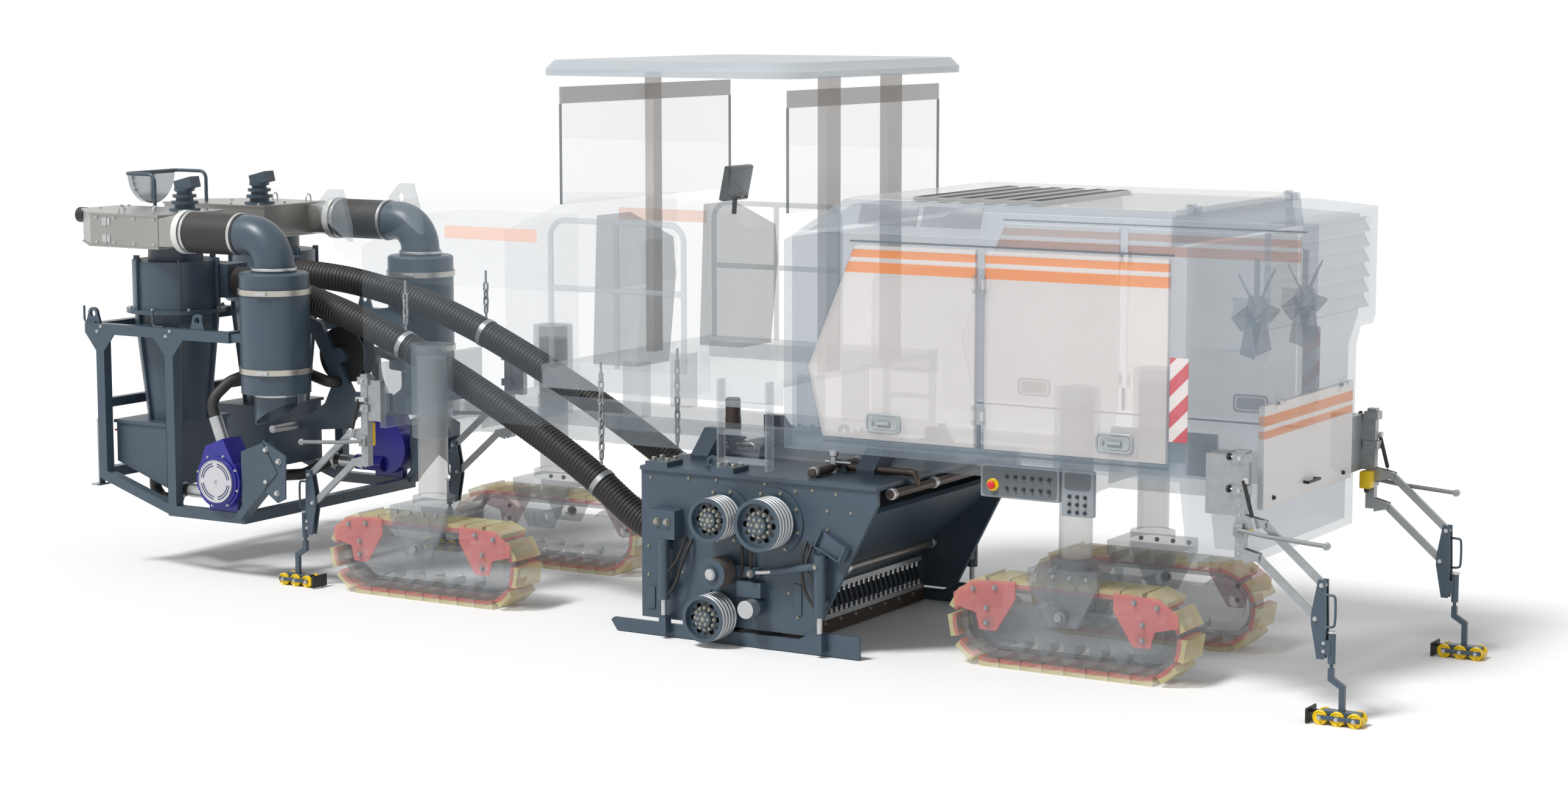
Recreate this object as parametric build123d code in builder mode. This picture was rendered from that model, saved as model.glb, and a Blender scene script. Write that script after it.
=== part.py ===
"""Four-track road milling machine with a dust and slurry extraction unit on its front."""
import os
from math import cos, degrees, pi, radians, sin

from build123d import *

os.makedirs("parts", exist_ok=True)

# Frame: +X forward, +Y left, +Z up, origin on the ground below the middle of the machine.
drum_x = -782.0  # station of the drum's axis, from which the other stations are measured
ground_gap = 6.0  # running height of skids over the ground
seat_gap = 0.3  # room between two bodies that bear on each other
panel = 40.0  # depth of doors, hood walls and lids
shut_gap = 6.0  # room round a closed door, lid or flap

# Track units
front_axle_x = drum_x + 2640.0
rear_axle_x = drum_x - 2480.0
front_gauge = 763.0
rear_gauge = 608.0
track_height = 600.0
pad_width = 300.0
pad_length = 146.0
pad_depth = 62.0
shoe_count = 23
shoe_pitch = 158.0
flat_pads = 8  # pads that lie flat on the ground
chain_width = 150.0
chain_depth = 42.0
roller_count = 5
roller_r = 46.0
side_frame_depth = 120.0
side_frame_height = 240.0
fork_gap = 16.0
fork_plate = 36.0
fork_half_length = 250.0
fork_low_z = 640.0
fork_top_z = 700.0
pin_z = 400.0
pin_r = 50.0
guard_plate = 12.0
column_r = 110.0
column_top_z = 1780.0
sleeve_r = 150.0
sleeve_top_z = 1880.0

# Chassis
beam_in_y = 250.0
beam_out_y = 370.0
frame_low_z = 1200.0
frame_top_z = 1400.0
beam_front_x = drum_x + 3200.0
beam_rear_x = drum_x - 3380.0
outrigger_length = 260.0
nose_plate = 60.0
nose_half_width = 600.0
nose_top_z = 1690.0

# Front body
tank_rear_x = drum_x + 1420.0
tank_front_x = drum_x + 3000.0
tank_in_y = 640.0
tank_out_y = 1100.0
tank_top_z = 2860.0
cover_front_x = drum_x + 3640.0
cover_low_z = 2300.0
cover_top_z = 2950.0
ear_hole_r = 40.0
ear_plate = 50.0
ear_y = 430.0

# Platform and canopy
deck_rear_x = drum_x - 540.0
deck_half_width = 1100.0
deck_z = 1840.0
deck_plate = 40.0
rail_r = 20.0
rail_top_z = 2850.0
rail_mid_z = 2380.0
ladder_rear_x = drum_x - 470.0
ladder_width = 380.0
ladder_plate = 16.0
ladder_out_y = 1190.0
ladder_low_z = 1240.0
ladder_steps = 3
ladder_pitch = 190.0
canopy_rear_x = drum_x - 720.0
canopy_front_x = drum_x + 1380.0
canopy_half_width = 1250.0
canopy_low_z = 3850.0
canopy_depth = 105.0
canopy_corner_r = 260.0
glass = 12.0
glass_low_z = 2960.0
glass_top_z = 3770.0
front_glass_x = drum_x + 1235.0
rear_glass_x = drum_x - 559.0
post_depth = 70.0
front_post_width = 110.0
rear_post_width = 190.0
rear_post_y = 430.0

# Hood
hood_half_width = 1100.0
hood_front_x = drum_x - 556.0
seam_z = 2850.0
seam_front_x = drum_x - 665.0
roof_z = 3080.0
roof_front_x = drum_x - 988.0
roof_half_width = 1020.0
lid_rear_x = drum_x - 3335.0
tail_x = drum_x - 3840.0
tail_low_z = 900.0
tail_half_width = 800.0
tail_front_x = drum_x - 3480.0
cowl_x = drum_x - 3900.0
cowl_half_width = 970.0
cowl_low_z = 2290.0
cowl_top_z = 3013.0
door_low_z = 1500.0
door_top_z = 2785.0
door_front_x = drum_x - 735.0
door_knee_z = 1957.0
door_top_front_x = drum_x - 1090.0
door_low_front_x = drum_x - 850.0
door_post_x = drum_x - 2017.0
door_post_width = 60.0
door_rear_x = drum_x - 3330.0
flap_half_width = 766.0
knuckle_r = 14.0
knuckle_length = 60.0
hinge_pin_r = 8.0
hinge_leaf = 6.0
hinge_leaf_width = 46.0
hinge_inset = 220.0  # hinge from the end of its door, lid or flap
flap_low_z = 1212.0
flap_top_z = 1868.0
louvre_count = 6
louvre_half_width = 860.0
louvre_low_z = 2350.0
louvre_top_z = 2950.0
engine_length = 1450.0
engine_width = 820.0
engine_height = 1080.0
engine_x = drum_x - 1560.0
cooler_x = drum_x - 3290.0
cooler_depth = 150.0
fan_y = 410.0
fan_z = 2430.0
fan_r = 320.0
fan_hub_r = 85.0
fan_depth = 70.0
fan_boss = 150.0
fan_blades = 7

# Milling unit
drum_z = 200.0
drum_core_r = 146.0
pick_height = 46.0
pick_rows = 16
pick_starts = 3
shaft_r = 48.0
housing_half_width = 1020.0
housing_plate = 35.0
housing_front_x = drum_x + 640.0
housing_rear_x = drum_x - 1230.0
housing_top_z = 1180.0
housing_low_z = 120.0
pulley_face_y = 1250.0
pulley_width = 188.0
side_plate_in_y = 1025.0
side_plate_depth = 28.0
skid_height = 90.0
skid_tail_height = 155.0
skid_rear_x = drum_x - 1111.0
skid_front_x = drum_x + 880.0
lift_cylinder_x = (drum_x + 409.0, drum_x - 833.0)
lift_cylinder_y = 1098.0
lift_barrel_r = 40.0
lift_rod_r = 20.0
lift_foot_z = 275.0
lift_head_z = 700.0
socket_z = 640.0
socket_length = 120.0
top_flange = 20.0
pad_x = (drum_x + 506.0, drum_x - 30.0)
tension_eye = (drum_x - 307.0, 525.0)
tension_gland = (drum_x - 463.0, 549.0)
tension_heel = (drum_x - 824.0, 620.0)
tension_line_y = 1098.0
scraper_top = (drum_x - 1195.0, 990.0)
scraper_knee = (drum_x - 600.0, 490.0)
scraper_plate = 26.0
scraper_blade_x = drum_x - 496.0
spray_hoses = 24
spray_pitch = 70.0
spray_hose_r = 11.0
spray_bar_z = 345.0
spray_foot_z = 140.0
spray_sway = 36.0
spray_pipe = (drum_x - 575.0, 450.0)
spray_pipe_r = 32.0

# Extraction unit
unit_y = 1000.0
unit_tube = 80.0
unit_front_x = drum_x + 5630.0
unit_overhang = 150.0
unit_post_x = drum_x + 4930.0
unit_rear_x = drum_x + 4330.0
unit_top_z = 1890.0
unit_low_z = 450.0
unit_nose_low_z = 690.0
gusset_reach = 105.0
gusset_drop = 130.0
thin_plate = 12.0
eye_plate = 24.0
eye_r = 48.0
eye_hole_r = 26.0
hook_r = 9.0
hanger_y = (440.0, 480.0)
cross_tube_x = drum_x + 4150.0
cross_tube_z = 1145.0
cross_tube_r = 28.0
cyclone_x = drum_x + 5254.0
cyclone_y = 575.0
cyclone_r = 334.0
cyclone_low_z = 2000.0
cyclone_top_z = 2370.0
cone_low_r = 240.0
cone_low_z = 1139.0
cyclone_ribs = 6
rib_plate = 14.0
rib_height = 26.0
hopper_front_x = drum_x + 5585.0
hopper_rear_x = drum_x + 5080.0
hopper_front_z = 815.0
hopper_rear_z = 638.0
hopper_half_width = 350.0
hopper_rim = 16.0
fan_box_rear_x = drum_x + 5060.0
fan_box_front_x = drum_x + 6110.0
fan_box_in_y = 250.0
fan_box_out_y = 980.0
fan_box_low_z = 2480.0
fan_box_top_z = 2740.0
box_rim = 12.0
lamp_reach = 125.0
mirror_post_x = drum_x + 5705.0
mirror_x = drum_x + 6020.0
mirror_y = 300.0
mirror_z = 2995.0
mirror_r = 250.0
mirror_tube_r = 14.0
duct_y = 886.0
duct_z = 2617.0
duct_r = 152.0
duct_flange_x = drum_x + 4817.0
silencer_x = drum_x + 4007.0
silencer_r = 260.0
silencer_low_z = 1451.0
silencer_top_z = 2352.0
elbow_bend = 215.0
silencer_bands = (1600.0, 2190.0)
band_height = 42.0
cowl_r = 165.0
cowl_wall = 12.0
cowl_tip_z = 1190.0
cowl_heel_z = 1388.0
motor_x = drum_x + 5270.0
motor_y = 440.0
pump_x = drum_x + 4415.0
pump_y = 900.0
pump_z = 771.0
pump_r = 210.0
pump_depth = 200.0
pump_disc_r = 160.0
pump_neck = 186.0
pump_neck_tilt = 21.0
inlet_z = 640.0
inlet_y = 905.0
inlet_r = 46.0
drain_x = drum_x + 5500.0
drain_y = 600.0
drain_z = 690.0
outlet_r = 42.0
hose_y = 500.0
hose_r = 100.0
band_depth = 12.0

# Levelling arms
front_arm_y = 890.0
rear_arm_y = 1126.0
front_arm_x = drum_x + 3150.0
rear_arm_x = drum_x - 3849.0
arm_post = 60.0
arm_post_low_z = 960.0
arm_post_top_z = 1640.0
link_reach = 392.0
link_drop = 340.0
upper_pivot = (148.0, 1194.0)
lower_pivot = (110.0, 985.0)
link_height = 44.0
link_depth = 30.0
link_pin_r = 10.0
wheel_r = 33.0


def save(piece, name):
    """Label a finished piece and write its STEP file."""
    piece.part.label = name
    export_step(piece.part, f"parts/{name}.step")


def side_plate(points, y_low, y_high, mode=Mode.ADD):
    """Extrude an outline in X and Z between two stations in Y."""
    with BuildSketch(Plane.XZ.offset(-y_low)) as outline:
        with BuildLine():
            Polyline(*points, close=True)
        make_face()
    extrude(outline.sketch, amount=y_high - y_low, dir=(0, 1, 0), mode=mode)


def plan_plate(points, z_low, z_high, mode=Mode.ADD):
    """Extrude an outline in X and Y between two heights."""
    with BuildSketch(Plane.XY.offset(z_low)) as outline:
        with BuildLine():
            Polyline(*points, close=True)
        make_face()
    extrude(outline.sketch, amount=z_high - z_low, dir=(0, 0, 1), mode=mode)


def block(x, y, z, mode=Mode.ADD):
    """Bar or plate between two limits in each of X, Y and Z."""
    with Locations(((x[0] + x[1]) / 2, (y[0] + y[1]) / 2, (z[0] + z[1]) / 2)):
        Box(abs(x[1] - x[0]), abs(y[1] - y[0]), abs(z[1] - z[0]), mode=mode)


def rod(start, end, radius, mode=Mode.ADD):
    """Round bar between two points."""
    axis = Vector(*end) - Vector(*start)
    with BuildSketch(Plane(origin=start, z_dir=axis)) as section:
        Circle(radius)
    extrude(section.sketch, amount=axis.length, dir=axis, mode=mode)


def bent_tube(points, radius, bends, mode=Mode.ADD):
    """Round tube along straight runs joined by tangent arcs."""
    with BuildLine() as route:
        FilletPolyline(*points, radius=bends)
    with BuildSketch(Plane(origin=route.line @ 0, z_dir=route.line % 0)) as section:
        Circle(radius)
    sweep(section.sketch, path=route.line, mode=mode)


def turned(points, axis_point, axis_dir, radial, mode=Mode.ADD):
    """Revolve an outline of (radius, station) pairs about an axis."""
    half_plane = Plane(origin=axis_point, x_dir=radial, z_dir=Vector(*radial).cross(Vector(*axis_dir)))
    with BuildSketch(half_plane) as half:
        with BuildLine():
            Polyline(*points, close=True)
        make_face()
    revolve(half.sketch, axis=Axis(axis_point, axis_dir), mode=mode)


def hinge_eye(centre, axis, leaf_x, leaf_y, leaf_z):
    """Knuckle with its leaf, bored for the pin, on the piece that swings."""
    middle = Vector(*centre)
    half = Vector(*axis) * (knuckle_length / 2)
    rod(middle - half, middle + half, knuckle_r)
    block(leaf_x, leaf_y, leaf_z)
    rod(middle - half * 1.1, middle + half * 1.1, hinge_pin_r + seat_gap, Mode.SUBTRACT)


def hinge_pin(centre, axis, leaf_x, leaf_y, leaf_z):
    """Pair of knuckles with their pin, on the piece that stays."""
    middle = Vector(*centre)
    way = Vector(*axis)
    inner = knuckle_length / 2 + seat_gap
    outer = inner + knuckle_length / 2
    for end in (1, -1):
        rod(middle + way * (end * inner), middle + way * (end * outer), knuckle_r)
        stretch = []
        for leaf, along in ((leaf_x, way.X), (leaf_y, way.Y), (leaf_z, way.Z)):
            offset = along * end * (inner + outer) / 2
            stretch.append((leaf[0] + offset, leaf[1] + offset))
        block(*stretch)
    rod(middle - way * outer, middle + way * outer, hinge_pin_r)


def span(centre, length):
    """Limits of a stretch about its middle."""
    return centre - length / 2, centre + length / 2


# Chassis: two box beams, outriggers with the sleeves of the lifting columns, and a nose plate
with BuildPart() as main_frame:
    block((beam_rear_x, beam_front_x), (beam_in_y, beam_out_y), (frame_low_z, frame_top_z))
    for axle_x, gauge in ((front_axle_x, front_gauge), (rear_axle_x, rear_gauge)):
        half = outrigger_length / 2
        block((axle_x - half, axle_x + half), (beam_in_y, gauge), (frame_low_z, frame_top_z))
        rod((axle_x, gauge, frame_low_z), (axle_x, gauge, sleeve_top_z), sleeve_r)
    mirror(about=Plane.XZ)
    for member_x in (beam_rear_x + 100, rear_axle_x, drum_x - 700, front_axle_x, beam_front_x - 100):
        block((member_x - 60, member_x + 60), (-beam_out_y, beam_out_y), (frame_low_z, frame_top_z))
    block(
        (beam_front_x, beam_front_x + nose_plate),
        (-nose_half_width, nose_half_width),
        (frame_low_z, nose_top_z),
    )
    for axle_x, gauge in ((front_axle_x, front_gauge), (rear_axle_x, rear_gauge)):
        for side in (1, -1):
            bore_r = column_r + 0.5
            foot = (axle_x, side * gauge, frame_low_z)
            rod(foot, (axle_x, side * gauge, sleeve_top_z), bore_r, Mode.SUBTRACT)
save(main_frame, "main_frame")

# Track units: the chain loop with its shoes, and the frame with fork and lifting column
track_half_run = (flat_pads - 1) * shoe_pitch / 2
axle_z = track_height / 2
band_out_r = axle_z - pad_depth + 2
band_in_r = band_out_r - chain_depth
pitch_r = shoe_pitch * (shoe_count - 2 * (flat_pads - 1)) / (2 * pi)


def shoe_place(shoe):
    """Offset of a shoe's turning centre from the track's middle, and the shoe's angle."""
    station = shoe * shoe_pitch
    run = 2 * track_half_run
    arc = pi * pitch_r
    if station <= run:
        return station - track_half_run, 180.0
    if station < run + arc:
        return track_half_run, 180.0 - degrees((station - run) / pitch_r)
    if station < 2 * run + arc:
        return track_half_run - (station - run - arc), 0.0
    return -track_half_run, -degrees((station - 2 * run - arc) / pitch_r)


track_units = (
    # name, axle station, gauge with its side
    ("front_left", front_axle_x, front_gauge),
    ("front_right", front_axle_x, -front_gauge),
    ("rear_left", rear_axle_x, rear_gauge),
    ("rear_right", rear_axle_x, -rear_gauge),
)
for name, axle_x, track_y in track_units:
    with BuildPart() as track_loop:
        with BuildSketch(Plane.XZ.offset(-(track_y + chain_width / 2))) as band:
            with Locations((axle_x, axle_z)):
                SlotCenterToCenter(2 * track_half_run, 2 * band_out_r)
                SlotCenterToCenter(2 * track_half_run, 2 * band_in_r, mode=Mode.SUBTRACT)
        extrude(amount=chain_width)
        for shoe in range(shoe_count):
            centre, angle = shoe_place(shoe)
            turning = Location((axle_x + centre, track_y, axle_z), (0, angle, 0))
            with Locations(turning * Location((0, 0, axle_z - pad_depth / 2))):
                Box(pad_length, pad_width, pad_depth)
    save(track_loop, f"track_loop_{name}")

    outer = 1 if track_y > 0 else -1
    with BuildPart() as track_frame:
        half_depth = side_frame_depth / 2
        with BuildSketch(Plane.XZ.offset(-(track_y + half_depth))):
            with Locations((axle_x, axle_z)):
                SlotCenterToCenter(2 * track_half_run, side_frame_height)
        extrude(amount=side_frame_depth)
        wheel_radius = band_in_r - seat_gap
        for end_x in (axle_x - track_half_run, axle_x + track_half_run):
            rod((end_x, track_y - 40, axle_z), (end_x, track_y + 40, axle_z), wheel_radius)
        roller_z = axle_z - band_in_r + roller_r + seat_gap
        for roller in range(roller_count):
            roller_x = axle_x + (roller - (roller_count - 1) / 2) * 2 * track_half_run / (roller_count + 1)
            rod((roller_x, track_y - 70, roller_z), (roller_x, track_y + 70, roller_z), roller_r)
        leg_in = pad_width / 2 + fork_gap
        leg_out = leg_in + fork_plate
        fork_leg = (
            (axle_x - fork_half_length, fork_top_z),
            (axle_x + fork_half_length, fork_top_z),
            (axle_x + fork_half_length, fork_low_z - 30),
            (axle_x + 110, pin_z - 70),
            (axle_x - 110, pin_z - 70),
            (axle_x - fork_half_length, fork_low_z - 30),
        )
        for leg_low in (track_y - leg_out, track_y + leg_in):
            side_plate(fork_leg, leg_low, leg_low + fork_plate)
        block(
            (axle_x - fork_half_length, axle_x + fork_half_length),
            (track_y - leg_out, track_y + leg_out),
            (fork_low_z, fork_top_z),
        )
        rod((axle_x, track_y - leg_out - 20, pin_z), (axle_x, track_y + leg_out + 20, pin_z), pin_r)
        rod((axle_x, track_y, fork_top_z), (axle_x, track_y, fork_top_z + 60), column_r + 45)
        rod((axle_x, track_y, fork_top_z), (axle_x, track_y, column_top_z), column_r)
        guard_y = track_y + outer * (pad_width / 2 + fork_gap / 2 + guard_plate / 2)
        guard_low_y = guard_y - guard_plate / 2
        for end in (1, -1):
            end_x = axle_x + end * track_half_run
            guard = (
                (end_x - end * 200, 590),
                (end_x + end * 120, 575),
                (end_x + end * 255, 480),
                (end_x + end * 250, 400),
                (end_x + end * 90, 360),
                (end_x + end * 60, 250),
                (end_x - end * 60, 250),
                (end_x - end * 200, 470),
            )
            side_plate(guard, guard_low_y, guard_low_y + guard_plate)
            rod((end_x, track_y, axle_z), (end_x, guard_y, axle_z), 48)
    save(track_frame, f"track_frame_{name}")

# Front body: side tanks, and the cover over the channel with its conveyor ears
with BuildPart() as side_tanks:
    tank_outline = (
        (tank_rear_x, frame_top_z),
        (tank_rear_x, tank_top_z),
        (tank_front_x - 600, tank_top_z),
        (tank_front_x, tank_top_z - 260),
        (tank_front_x, frame_top_z + 180),
        (tank_front_x - 180, frame_top_z),
    )
    side_plate(tank_outline, tank_in_y, tank_out_y)
    front_column = (front_axle_x, front_gauge, frame_top_z)
    rod(front_column, (front_axle_x, front_gauge, sleeve_top_z + 5), sleeve_r + 5, Mode.SUBTRACT)
    mirror(about=Plane.XZ)
save(side_tanks, "side_tanks")

with BuildPart() as channel_cover:
    cover_outline = (
        (tank_rear_x, cover_low_z),
        (tank_rear_x, cover_top_z),
        (cover_front_x - 300, cover_top_z - 70),
        (cover_front_x, cover_top_z - 260),
        (cover_front_x, cover_low_z + 210),
        (cover_front_x - 500, cover_low_z),
    )
    side_plate(cover_outline, -tank_in_y, tank_in_y)
save(channel_cover, "channel_cover")

with BuildPart() as conveyor_ears:
    ear_x = cover_front_x + 190
    ear_z = cover_top_z - 110
    with BuildSketch(Plane.XZ.offset(-(ear_y - ear_plate / 2))) as ear:
        with BuildLine():
            Polyline(
                (cover_front_x, cover_low_z + 260),
                (cover_front_x, cover_top_z - 270),
                (ear_x - 110, ear_z + 110),
                (ear_x, ear_z + 110),
                (ear_x + 110, ear_z),
                (ear_x + 60, ear_z - 110),
                close=True,
            )
        make_face()
        with Locations((ear_x, ear_z)):
            Circle(ear_hole_r, mode=Mode.SUBTRACT)
    extrude(ear.sketch, amount=ear_plate, dir=(0, 1, 0))
    mirror(about=Plane.XZ)
save(conveyor_ears, "conveyor_ears")

# Platform: deck on four props, hand rails with ladders, and two consoles
with BuildPart() as deck:
    block(
        (deck_rear_x, tank_rear_x),
        (-deck_half_width, deck_half_width),
        (deck_z - deck_plate, deck_z),
    )
    for prop_x in (drum_x - 300, drum_x + 1150):
        for side in (1, -1):
            block(
                (prop_x - 80, prop_x + 80),
                (side * beam_in_y, side * beam_out_y),
                (frame_top_z, deck_z - deck_plate),
            )
    for side in (1, -1):
        block(
            (deck_rear_x, tank_rear_x),
            (side * (deck_half_width - 20), side * deck_half_width),
            (deck_z - 160, deck_z),
        )
save(deck, "deck")

with BuildPart() as hand_rails:
    rail_y = deck_half_width - 40
    rail_rear_x = drum_x + 260
    rail_front_x = tank_rear_x - 60
    bent_tube(
        (
            (rail_rear_x, rail_y, deck_z),
            (rail_rear_x, rail_y, rail_top_z),
            (rail_front_x, rail_y, rail_top_z),
            (rail_front_x, rail_y, deck_z),
        ),
        rail_r,
        120,
    )
    rod((rail_rear_x, rail_y, rail_mid_z), (rail_front_x, rail_y, rail_mid_z), rail_r)
    post_x = (rail_rear_x + rail_front_x) / 2
    rod((post_x, rail_y, deck_z), (post_x, rail_y, rail_top_z), rail_r)
    for ladder_x in (ladder_rear_x, ladder_rear_x + ladder_width):
        ladder_bar = (ladder_x - ladder_plate / 2, ladder_x + ladder_plate / 2)
        block(ladder_bar, (deck_half_width, ladder_out_y), (ladder_low_z, deck_z))
    for step in range(ladder_steps):
        step_z = ladder_low_z + 40 + step * ladder_pitch
        block(
            (ladder_rear_x, ladder_rear_x + ladder_width),
            (deck_half_width + 10, ladder_out_y),
            (step_z, step_z + 30),
        )
    mirror(about=Plane.XZ)
save(hand_rails, "hand_rails")

with BuildPart() as consoles:
    console_outline = (
        (drum_x + 760, deck_z),
        (drum_x + 700, deck_z + 620),
        (drum_x + 720, deck_z + 880),
        (drum_x + 1080, deck_z + 1040),
        (drum_x + 1120, deck_z),
    )
    side_plate(console_outline, 480, 900)
    mirror(about=Plane.XZ)
save(consoles, "consoles")

# Canopy: two rear posts and one front post, wind screens and the roof
with BuildPart() as canopy_posts:
    for post_y in (rear_post_y, -rear_post_y):
        block(
            (rear_glass_x + glass, rear_glass_x + glass + post_depth),
            (post_y - rear_post_width / 2, post_y + rear_post_width / 2),
            (deck_z, canopy_low_z),
        )
    block(
        (front_glass_x - post_depth, front_glass_x),
        (-front_post_width / 2, front_post_width / 2),
        (deck_z, canopy_low_z),
    )
save(canopy_posts, "canopy_posts")

with BuildPart() as canopy_glass:
    for pane_x, half_width in ((rear_glass_x, 1050), (front_glass_x, 1100)):
        block((pane_x, pane_x + glass), (-half_width, half_width), (glass_low_z, glass_top_z))
save(canopy_glass, "canopy_glass")

with BuildPart() as canopy_roof:
    with BuildSketch(Plane.XY.offset(canopy_low_z)):
        with Locations(((canopy_rear_x + canopy_front_x) / 2, 0)):
            RectangleRounded(canopy_front_x - canopy_rear_x, 2 * canopy_half_width, canopy_corner_r)
    extrude(amount=canopy_depth)
    chamfer(canopy_roof.edges().group_by(Axis.Z)[-1], length=60)
save(canopy_roof, "canopy_roof")

def door_outline(place, inset):
    """Corners of a side door's opening, or of the door itself at an inset, in X and Z."""
    low_z = door_low_z + inset
    top_z = door_top_z - inset
    if place == "rear":
        rear_x = door_rear_x + inset
        front_x = door_post_x - door_post_width / 2 - inset
        return (rear_x, low_z), (rear_x, top_z), (front_x, top_z), (front_x, low_z)
    rear_x = door_post_x + door_post_width / 2 + inset
    return (
        (rear_x, low_z),
        (rear_x, top_z),
        (door_top_front_x - inset, top_z),
        (door_front_x - inset, door_knee_z),
        (door_low_front_x - inset, low_z),
    )


# Hood: a walled frame with openings for doors, flap, lid and louvres
with BuildPart() as hood_frame:
    hood_outline = (
        (hood_front_x, frame_top_z),
        (hood_front_x, seam_z - 60),
        (seam_front_x, seam_z),
        (lid_rear_x - shut_gap, seam_z),
        (lid_rear_x - shut_gap, roof_z - 40),
        (cowl_x, cowl_top_z),
        (cowl_x, cowl_low_z),
        (tail_x, cowl_low_z - 190),
        (tail_x, tail_low_z),
        (tail_front_x, tail_low_z),
        (tail_front_x + 60, frame_top_z),
    )
    side_plate(hood_outline, -hood_half_width, hood_half_width)
    corner_slope = (hood_half_width - tail_half_width) / (tail_front_x - tail_x)
    for side in (1, -1):
        corner = (
            (tail_front_x, side * hood_half_width),
            (tail_front_x, side * (hood_half_width + 50)),
            (cowl_x - 50, side * (hood_half_width + 50)),
            (cowl_x - 50, side * (hood_half_width - (tail_front_x - cowl_x + 50) * corner_slope)),
        )
        plan_plate(corner, tail_low_z, cowl_low_z - 60, Mode.SUBTRACT)
        cowl_corner = (
            (tail_front_x, side * hood_half_width),
            (tail_front_x, side * (hood_half_width + 50)),
            (cowl_x - 50, side * (hood_half_width + 50)),
            (cowl_x - 50, side * cowl_half_width),
        )
        plan_plate(cowl_corner, cowl_low_z - 60, roof_z, Mode.SUBTRACT)
    inner_outline = (
        (hood_front_x - panel, frame_top_z + panel),
        (hood_front_x - panel, seam_z + 20),
        (lid_rear_x + 30, seam_z + 20),
        (lid_rear_x + 30, roof_z - 80),
        (cowl_x + panel, cowl_top_z - panel),
        (cowl_x + panel, cowl_low_z + 10),
        (tail_x + panel, cowl_low_z - 180),
        (tail_x + panel, tail_low_z + panel),
        (tail_front_x - panel, tail_low_z + panel),
        (tail_front_x + 20, frame_top_z + panel),
    )
    inner_half = tail_half_width - panel
    side_plate(inner_outline, -inner_half, inner_half, Mode.SUBTRACT)
    for side in (1, -1):
        block(
            (tail_front_x + 20, hood_front_x - panel),
            (side * (inner_half - 10), side * (hood_half_width - panel)),
            (frame_top_z + panel, seam_z + 20),
            Mode.SUBTRACT,
        )
        low_y, high_y = sorted((side * (hood_half_width - panel - 5), side * (hood_half_width + 5)))
        for place in ("front", "rear"):
            side_plate(door_outline(place, 0), low_y, high_y, Mode.SUBTRACT)
        sleeve_foot = (rear_axle_x, side * rear_gauge, frame_top_z)
        sleeve_head = (rear_axle_x, side * rear_gauge, frame_top_z + panel)
        rod(sleeve_foot, sleeve_head, sleeve_r + 5, Mode.SUBTRACT)
    block(
        (tail_x - 5, tail_x + panel + 5),
        (-flap_half_width, flap_half_width),
        (flap_low_z, flap_top_z),
        Mode.SUBTRACT,
    )
    block(
        (cowl_x - 5, cowl_x + panel + 5),
        (-louvre_half_width, louvre_half_width),
        (louvre_low_z, louvre_top_z),
        Mode.SUBTRACT,
    )
    louvre_pitch = (louvre_top_z - louvre_low_z) / louvre_count
    for blade in range(louvre_count):
        blade_z = louvre_low_z + (blade + 0.5) * louvre_pitch
        slat = (
            (cowl_x, blade_z - 45),
            (cowl_x + panel, blade_z + 25),
            (cowl_x + panel, blade_z + 45),
            (cowl_x, blade_z - 25),
        )
        side_plate(slat, -louvre_half_width - 5, louvre_half_width + 5)
    for side in (1, -1):
        for way in (1, -1):
            axis_x = door_post_x + way * (door_post_width / 2 + shut_gap / 2)
            axis_y = side * (hood_half_width + knuckle_r)
            for axis_z in (door_low_z + hinge_inset, door_top_z - hinge_inset):
                hinge_pin(
                    (axis_x, axis_y, axis_z),
                    (0, 0, 1),
                    (axis_x - way * hinge_leaf_width / 2, axis_x),
                    (side * hood_half_width, side * (hood_half_width + hinge_leaf)),
                    span(axis_z, knuckle_length / 2),
                )
    for axis_y in (flap_half_width - hinge_inset, hinge_inset - flap_half_width):
        axis_z = flap_top_z - shut_gap / 2
        hinge_pin(
            (tail_x - knuckle_r, axis_y, axis_z),
            (0, 1, 0),
            (tail_x - hinge_leaf, tail_x),
            span(axis_y, knuckle_length / 2),
            (axis_z, axis_z + hinge_leaf_width),
        )
    for axis_y in (roof_half_width - hinge_inset, hinge_inset - roof_half_width):
        hinge_pin(
            (lid_rear_x - shut_gap / 2, axis_y, roof_z + knuckle_r),
            (0, 1, 0),
            (lid_rear_x - shut_gap / 2 - hinge_leaf_width, lid_rear_x - shut_gap),
            span(axis_y, knuckle_length / 2),
            (roof_z - 60, roof_z + knuckle_r),
        )
save(hood_frame, "hood_frame")

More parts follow.
